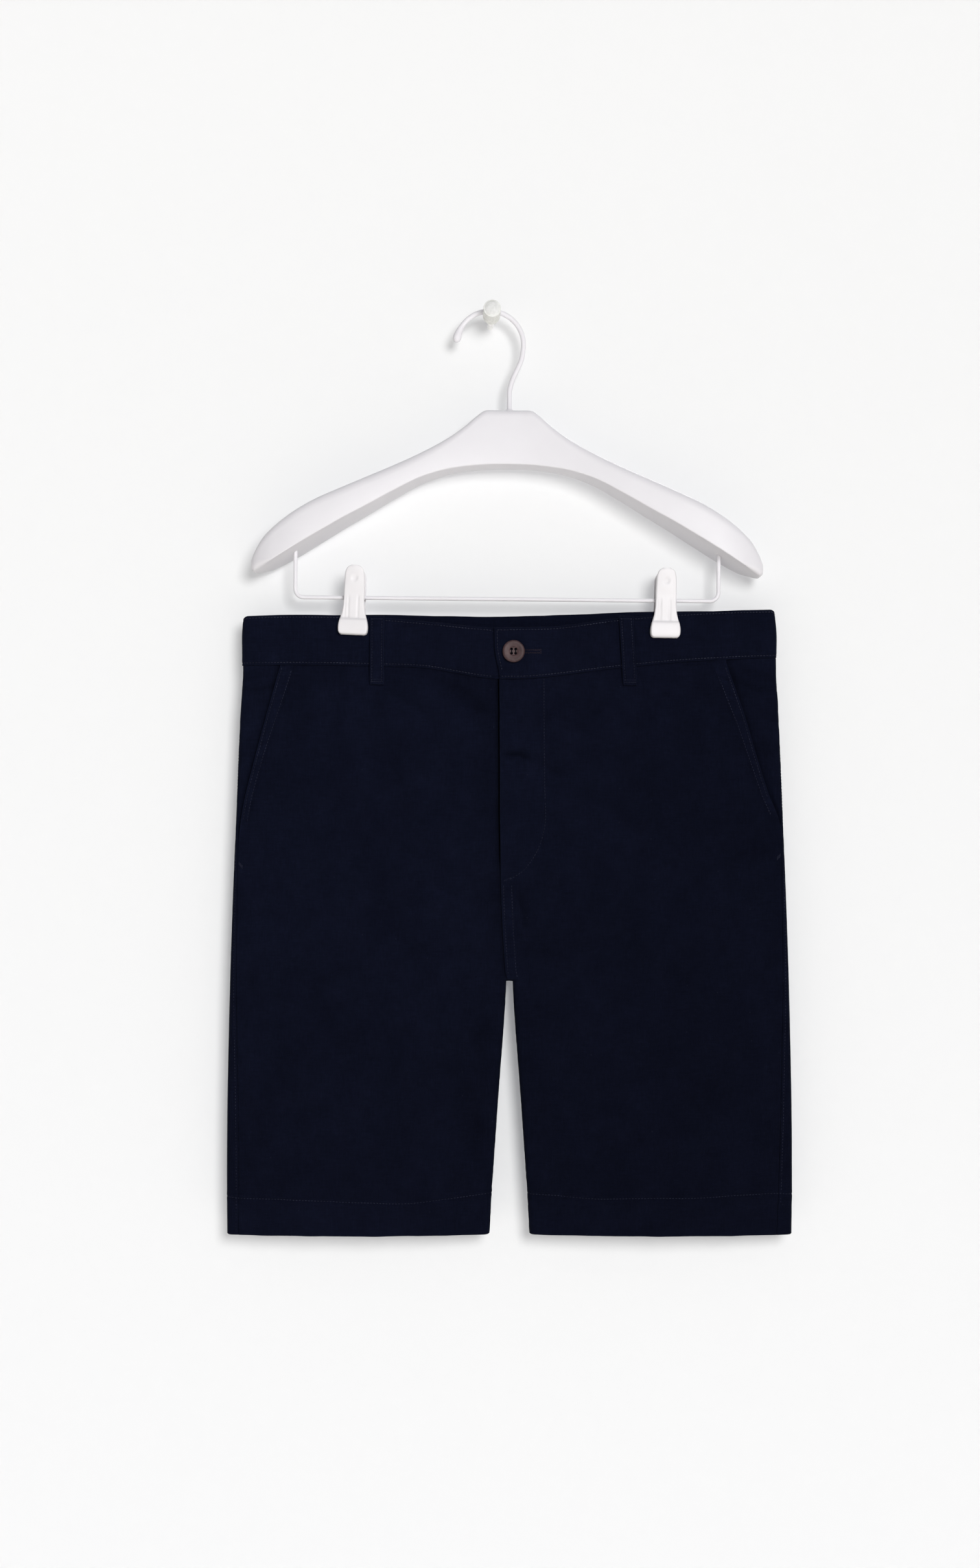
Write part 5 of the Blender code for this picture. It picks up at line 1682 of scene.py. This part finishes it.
def arm_ring(x, sign):
    top, bottom = float(ARM_AT["top"](x)), float(ARM_AT["bottom"](x))
    depth, drop = float(ARM_AT["depth"](x)), float(ARM_AT["drop"](x))
    middle = mix(HANGER_Y, MID_Y, float(smooth(x / 150.0)))
    front, back = middle - depth / 2, middle + depth / 2
    height = top - bottom
    corners = ((front, bottom), (back, bottom - drop), (back, top), (front, top))
    soft = min(9.0, height * 0.42, depth * 0.34)
    tip = float(smooth((x - 192.0) / 17.0))
    lip = mix(min(1.3, height * 0.10), min(height * 0.42, depth * 0.34), tip)
    outline = rounded_outline(corners, (lip, lip, soft, soft), 7)
    return hung([(sign * x, y, z) for y, z in outline])


def hanger_body():
    parts = [spread(0, 15, 5)[1:], spread(16, 40, 17), spread(42, 90, 20), spread(93, 190, 38)]
    reach = np.unique(np.round(np.concatenate([*parts, 210.2 - 20.0 * spread(0.97, 0.0, 26) ** 1.7]), 3))
    rings = [arm_ring(x, -1.0) for x in reach[::-1]] + [arm_ring(0.0, 1.0)] + [arm_ring(x, 1.0) for x in reach]
    obj = loft("hanger_arms", rings, HANGER_WHITE, 42.0)
    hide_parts("hanger_body")


def hanger_hook():
    shank = ((0.7, -78.2), (0.6, -68.0), (0.9, -59.0), (3.2, -50.6), (6.8, -42.6), (10.2, -34.6))
    points = [tuple(hung((px, HANGER_Y, pz))[0]) for px, pz in shank]
    for degrees in (*range(-8, 147, 11), 152, 157, 162, 167, 172, 176):
        turn = math.radians(degrees)
        across, up = HOOK_RADIUS * math.cos(turn), HOOK_RADIUS * math.sin(turn)
        points.append((HOOK_CENTRE_X + across, HANGER_Y, HOOK_CENTRE_Z + up))
    path = smooth_path(points, 150)
    steps = lengths_along(path)
    tip = curve(HOOK_TIP, "d", "share")
    obj = rod("hanger_hook_rod", path, WIRE * tip(steps[-1] - steps), WIRE_WHITE, 20)
    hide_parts("hanger_hook")
    collar = []
    turn = 2 * math.pi * np.arange(28) / 28
    for up, radius in ((-78.4, 2.2), (-77.2, 3.4), (-76.5, 3.5), (-76.0, 3.1), (-75.8, 2.3)):
        ring = [shank[0][0] + radius * np.cos(turn), HANGER_Y + radius * np.sin(turn), np.full(28, up)]
        collar.append(hung(np.stack(ring, axis=-1)))
    loft("hook_collar", collar, HANGER_WHITE, 40.0)


def hanger_bar():
    corner = BAR_X - BAR_BEND
    arm_z = float(ARM_AT["bottom"](BAR_X) - ARM_AT["drop"](BAR_X) / 2)
    side = [(BAR_X, arm_z + 1.5), (BAR_X, mix(arm_z, BAR_Z, 0.3)), (BAR_X, mix(arm_z, BAR_Z, 0.6))]
    for n in range(10):
        turn = math.radians(10.0 * n)
        side.append((corner + BAR_BEND * math.cos(turn), BAR_Z + BAR_BEND - BAR_BEND * math.sin(turn)))
    level = [(x, BAR_Z) for x in np.arange(160.0, -161.0, -8.0)]
    path = side + level + [(-x, z) for x, z in reversed(side)]
    obj = rod("hanger_bar_wire", hung([(x, MID_Y, z) for x, z in path]), BAR_WIRE, WIRE_WHITE, 16)
    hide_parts("hanger_bar")


def clip_lever(name, node, x, facing, lean):
    """One half of a clip: a broad jaw, a grooved neck, and a finger tab that is rounded over and dimpled."""
    c, s = math.cos(math.radians(lean)), math.sin(math.radians(lean))
    rows = {column: curve(LEVER, "z", column) for column in Lever._fields[1:]}
    heights = [spread(-31.3, -29.6, 7), spread(-29.2, -19.8, 16), spread(-19.6, -17.2, 9)]
    heights += [spread(-16.8, 19.0, 36)[1:], 25.0 - 6.0 * spread(0.96, 0.0, 12) ** 1.7]
    across = np.concatenate([spread(-1.0, -0.86, 5), spread(-0.82, 0.82, 22), spread(0.86, 1.0, 5)])
    rings = []
    for z in np.concatenate(heights):
        half, inner, outer = (float(rows[c](z)) for c in ("half", "inner", "outer"))
        u = across * half
        edge = np.minimum(1.3, (outer - inner) * 0.42)
        drop = edge * (1.0 - rounding(half - np.abs(u), edge))
        face = outer - drop
        neck = float(smooth((z + 18.5) / 1.5) * smooth((2.0 - z) / 5.0))
        grooves = bell(u - 3.4, 0.8) + bell(u + 4.4, 0.8) + 0.6 * bell(u + 7.0, 0.6)
        face = face - 0.5 * neck * grooves
        crown = 0.5 * (1.0 - (u / half) ** 2) * float(smooth((z - 2.0) / 8.0))
        dimple = 0.75 * np.exp(-((np.hypot(u, z - 14.6) / 2.5) ** 4))
        face = face + crown - dimple
        front = np.stack([u, face], axis=-1)
        back = np.stack([u[::-1], np.full(len(u), inner)], axis=-1)
        across_ring, out = np.concatenate([front, back]).T
        ring = [x + c * across_ring + s * z, MID_Y + facing * out, BAR_Z + c * z - s * across_ring]
        rings.append(hung(np.stack(ring, axis=-1)))
    obj = loft(name, rings, CLIP_WHITE, 38.0)
    recalc(obj)
    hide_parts(node)


def clip_spring(name, node, x):
    """A steel torsion spring wound round the bar, with an arm up each lever."""
    turns, wire, radius = 6.0, 0.55, 3.9
    path = []
    for t in spread(0.0, 1.0, 150):
        turn = math.radians(-150) + 2 * math.pi * turns * t + math.radians(120) * t
        along = x - SPRING_HALF + 0.6 + (2 * SPRING_HALF - 1.2) * t
        path.append((along, MID_Y + radius * math.cos(turn), BAR_Z + radius * math.sin(turn)))
    obj = rod(name, hung(path), wire, SPRING, 9)
    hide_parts(node)
    for n, (side, facing) in enumerate(((-SPRING_HALF + 0.9, -1.0), (SPRING_HALF - 0.9, 1.0))):
        bends = ((4.0, -1.0), (5.0, 5.0), (7.4, 14.0))
        arm = [(x + side, MID_Y + facing * out, BAR_Z + up) for out, up in bends]
        rod(f"{name}_arm_{n}", hung(smooth_path(arm, 12)), wire, SPRING, 9)


def wall_peg():
    # distances out from the wall, and radii: the stem, the ribbed side, a fine groove and the face
    profile = (
        (0.0, 0.0), (0.0, 2.7), (23.0, 2.7), (23.05, 5.6), (23.25, 6.5), (23.8, 7.0), (25.0, 7.15),
        (30.0, 7.2), (39.3, 7.2), (40.1, 7.1), (40.6, 6.85), (40.7, 6.45), (40.6, 6.15), (40.9, 5.95),
        (41.5, 5.0), (41.9, 3.8), (42.2, 2.4), (42.35, 1.2), (PEG_LENGTH, 0.4), (PEG_LENGTH, 0.0),
    )
    outs, radii = zip(*profile)
    lengths = np.concatenate([[0.0], np.cumsum([math.dist(a, b) for a, b in zip(profile, profile[1:])])])
    rings = []
    around, ribs = 192, 38
    turn = 2 * math.pi * np.arange(around) / around
    for s in np.unique(np.concatenate([lengths[1:-1], spread(lengths[4], lengths[-2], 90)])):
        out, r = np.interp(s, lengths, outs), np.interp(s, lengths, radii)
        ribbed = float(smooth((out - 24.6) / 0.8) * smooth((38.8 - out) / 0.8))
        r = r - 0.17 * ribbed * (0.5 - 0.5 * np.cos(ribs * turn))
        across, up = out * PEG_TILT_X + r * np.cos(turn), out * PEG_TILT_Z + r * np.sin(turn)
        rings.append(np.stack([across, np.full(around, -out), up], axis=-1))
    obj = loft("peg_turned", rings, PEG_WHITE, 35.0)
    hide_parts("wall_peg")


# ================================================================ build it
for side in ("left", "right"):
    front_panel(side)
    back_panel(side)
    pocket_facing(side)
    waistband(side)
for loop in LOOPS:
    belt_loop(loop)
fly_underlap()
zip_tape()
zip_teeth()
button()
all_stitching()
buttonhole()
lay_stitching()
hanger_body()
hanger_hook()
hanger_bar()
for clip in CLIPS:
    side, place = clip.side, clip.x - BAR_Z * math.tan(HANGER_TILT)
    clip_lever(f"clip_{side}_lever_front", f"clip_{side}_front", place, -1.0, clip.lean)
    clip_lever(f"clip_{side}_lever_back", f"clip_{side}_back", place, 1.0, clip.lean)
    clip_spring(f"clip_{side}_coil", f"clip_{side}_spring", place)
wall_peg()

for piece in SHORTS:
    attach(piece, "root")

# ---------------------------------------------------------------- the cut of each sheet of cloth, in metres
Cut = namedtuple("Cut", "piece width length area rests_on also")
CUTS = (
    Cut("front_panel_left", 0.237, 0.476, 0.1018, "waistband_left", ("stitching_front_left",)),
    Cut("front_panel_right", 0.237, 0.472, 0.0990, "waistband_right", ("stitching_front_right",)),
    Cut("back_panel_left", 0.262, 0.474, 0.1140, "waistband_left", ("stitching_back_left",)),
    Cut("back_panel_right", 0.258, 0.470, 0.1130, "waistband_right", ("stitching_back_right",)),
    Cut("pocket_facing_cloth_left", 0.072, 0.126, 0.0062, "waistband_left", ()),
    Cut("pocket_facing_cloth_right", 0.058, 0.128, 0.0054, "waistband_right", ()),
    Cut(
        "waistband_cloth_left", 0.468, 0.042, 0.0193, "clip_left_front",
        ("stitching_waistband_left", "buttonhole_stitches"),
    ),
    Cut("waistband_cloth_right", 0.487, 0.042, 0.0200, "clip_right_front", ("stitching_waistband_right",)),
    Cut("fly_underlap_cloth", 0.040, 0.165, 0.0058, "front_right", ()),
    Cut("zip_tape_woven", 0.024, 0.152, 0.0036, "front_left", ("zip_teeth",)),
    *(
        Cut(loop.name + "_cloth", 0.012, 0.058, 0.00068, "waistband_left", ("stitching_" + loop.name,))
        for loop in LOOPS
    ),
)
for cut in CUTS:
    piece = bpy.data.objects[cut.piece]


# ================================================================ camera, wall, floor and light
def camera():
    data = bpy.data.cameras.new("camera")
    data.sensor_width = 36.0
    data.lens = 34.76
    data.shift_x = -0.0002
    data.shift_y = 0.0496
    data.clip_start, data.clip_end = 0.01, 60.0
    obj = bpy.data.objects.new("camera", data)
    obj.location = (0.0, -1.274, -0.450)
    obj.rotation_euler = (math.pi / 2, 0.0, 0.0)
    bpy.context.scene.collection.objects.link(obj)
    bpy.context.scene.camera = obj


KEY = Vector((0.475, -1.790, 0.000))  # a soft lamp at the upper right of the camera
KEY_POWER = 33.0
KEY_RADIUS = 0.37
BACK_SUN = 1.9  # lights the back, and never reaches what the camera sees
WORLD_LIGHT = 0.30
WORLD_ON_WALL = 0.33  # with what the floor gives back
WALL_SHADE = 0.55  # how much light the wall gives back
WALL_WHITE = 0.969  # with the least that the floor gives
FLOOR_ON_WALL = (0.21, -1.40, 0.030, 0.129)  # heights from and to, and the light that the floor gives there
FLOOR_TINT = (1.0, 0.925, 0.76)


def light():
    data = bpy.data.lights.new("key", "POINT")
    data.energy = KEY_POWER
    data.shadow_soft_size = KEY_RADIUS
    data.use_nodes = True
    tree = data.node_tree
    falloff = tree.nodes.new("ShaderNodeLightFalloff")
    falloff.inputs["Strength"].default_value = 1.0
    tree.links.new(falloff.outputs["Constant"], tree.nodes["Emission"].inputs["Strength"])
    obj = bpy.data.objects.new("key", data)
    obj.location = KEY
    obj.visible_camera = False
    bpy.context.scene.collection.objects.link(obj)
    back = bpy.data.lights.new("back", "SUN")
    back.energy = BACK_SUN
    back.angle = math.radians(25)
    obj = bpy.data.objects.new("back", back)
    obj.rotation_euler = Vector((0.18, 1.0, 0.45)).to_track_quat("Z", "Y").to_euler()
    bpy.context.scene.collection.objects.link(obj)
    world = bpy.data.worlds.new("studio")
    world.use_nodes = True
    background = world.node_tree.nodes["Background"]
    background.inputs["Color"].default_value = (1.0, 1.0, 1.0, 1.0)
    background.inputs["Strength"].default_value = WORLD_LIGHT
    bpy.context.scene.world = world


def plane(name, corners, material):
    mesh = bpy.data.meshes.new(name)
    mesh.from_pydata(corners, [], [(0, 1, 2, 3)])
    obj = bpy.data.objects.new(name, mesh)
    obj.data.materials.append(material)
    bpy.context.scene.collection.objects.link(obj)
    return obj


def wall_paint():
    """Plain white from the front. It makes up for the lamp's fall-off, and nothing of it shows from behind."""
    material = bpy.data.materials.new("wall_paint")
    material.use_nodes = True
    tree = material.node_tree
    tree.nodes.clear()

    def add(kind, *inputs, **settings):
        """A node with its inputs in order: sockets to link from, or plain values."""
        node = tree.nodes.new(kind)
        for name, value in settings.items():
            setattr(node, name, value)
        for socket, value in zip(node.inputs, inputs):
            if isinstance(value, bpy.types.NodeSocket):
                tree.links.new(value, socket)
            else:
                socket.default_value = value
        return node

    def maths(operation, *inputs, **settings):
        return add("ShaderNodeMath", *inputs, operation=operation, **settings).outputs[0]

    geometry = add("ShaderNodeNewGeometry")
    place = geometry.outputs["Position"]
    away = add("ShaderNodeVectorMath", place, KEY, operation="DISTANCE").outputs["Value"]
    lit = maths("DIVIDE", -KEY.y * WALL_SHADE, away)
    rest = maths("SUBTRACT", WALL_WHITE - WALL_SHADE * WORLD_ON_WALL, lit, use_clamp=True)
    # the floor lights the wall more the lower it is, and its colour comes with it
    height = add("ShaderNodeSeparateXYZ", place).outputs[2]
    low = add("ShaderNodeMapRange", height, *FLOOR_ON_WALL).outputs[0]
    colour = add("ShaderNodeCombineColor", *(maths("MULTIPLY_ADD", low, -share, rest) for share in FLOOR_TINT))
    glow = add("ShaderNodeEmission", colour.outputs[0])
    paint = add("ShaderNodeBsdfDiffuse", (WALL_SHADE, WALL_SHADE, WALL_SHADE, 1.0))
    both = add("ShaderNodeAddShader", glow.outputs[0], paint.outputs[0])
    clear = add("ShaderNodeBsdfTransparent")
    facing = geometry.outputs["Backfacing"]
    pick = add("ShaderNodeMixShader", facing, both.outputs[0], clear.outputs[0])
    add("ShaderNodeOutputMaterial", pick.outputs[0])
    return material


def floor_paint():
    n = Nodes("pale_floor")
    cloud = n.noise(n.scaled(2), 2.0, 0.5)
    n.set(Base_Color=n.ramp(cloud, (0.3, (0.82, 0.79, 0.74)), (0.7, (0.85, 0.82, 0.77))), Roughness=0.9)
    return n.material


camera()
light()
WALL_Y = 0.0006  # just behind the peg's back face
FLOOR_Z = -1.6
SIDE = 4  # how far wall and floor reach to each side
wall = [(-SIDE, WALL_Y, FLOOR_Z), (SIDE, WALL_Y, FLOOR_Z), (SIDE, WALL_Y, 2.2), (-SIDE, WALL_Y, 2.2)]
backdrop = plane("wall", wall, wall_paint())
backdrop.visible_shadow = False
floor = [(-SIDE, -5, FLOOR_Z), (SIDE, -5, FLOOR_Z), (SIDE, 3, FLOOR_Z), (-SIDE, 3, FLOOR_Z)]
plane("floor", floor, floor_paint())

scene = bpy.context.scene
scene.view_settings.view_transform = "Standard"
scene.view_settings.look = "None"
scene.view_settings.exposure = 0.0
scene.view_settings.gamma = 1.0
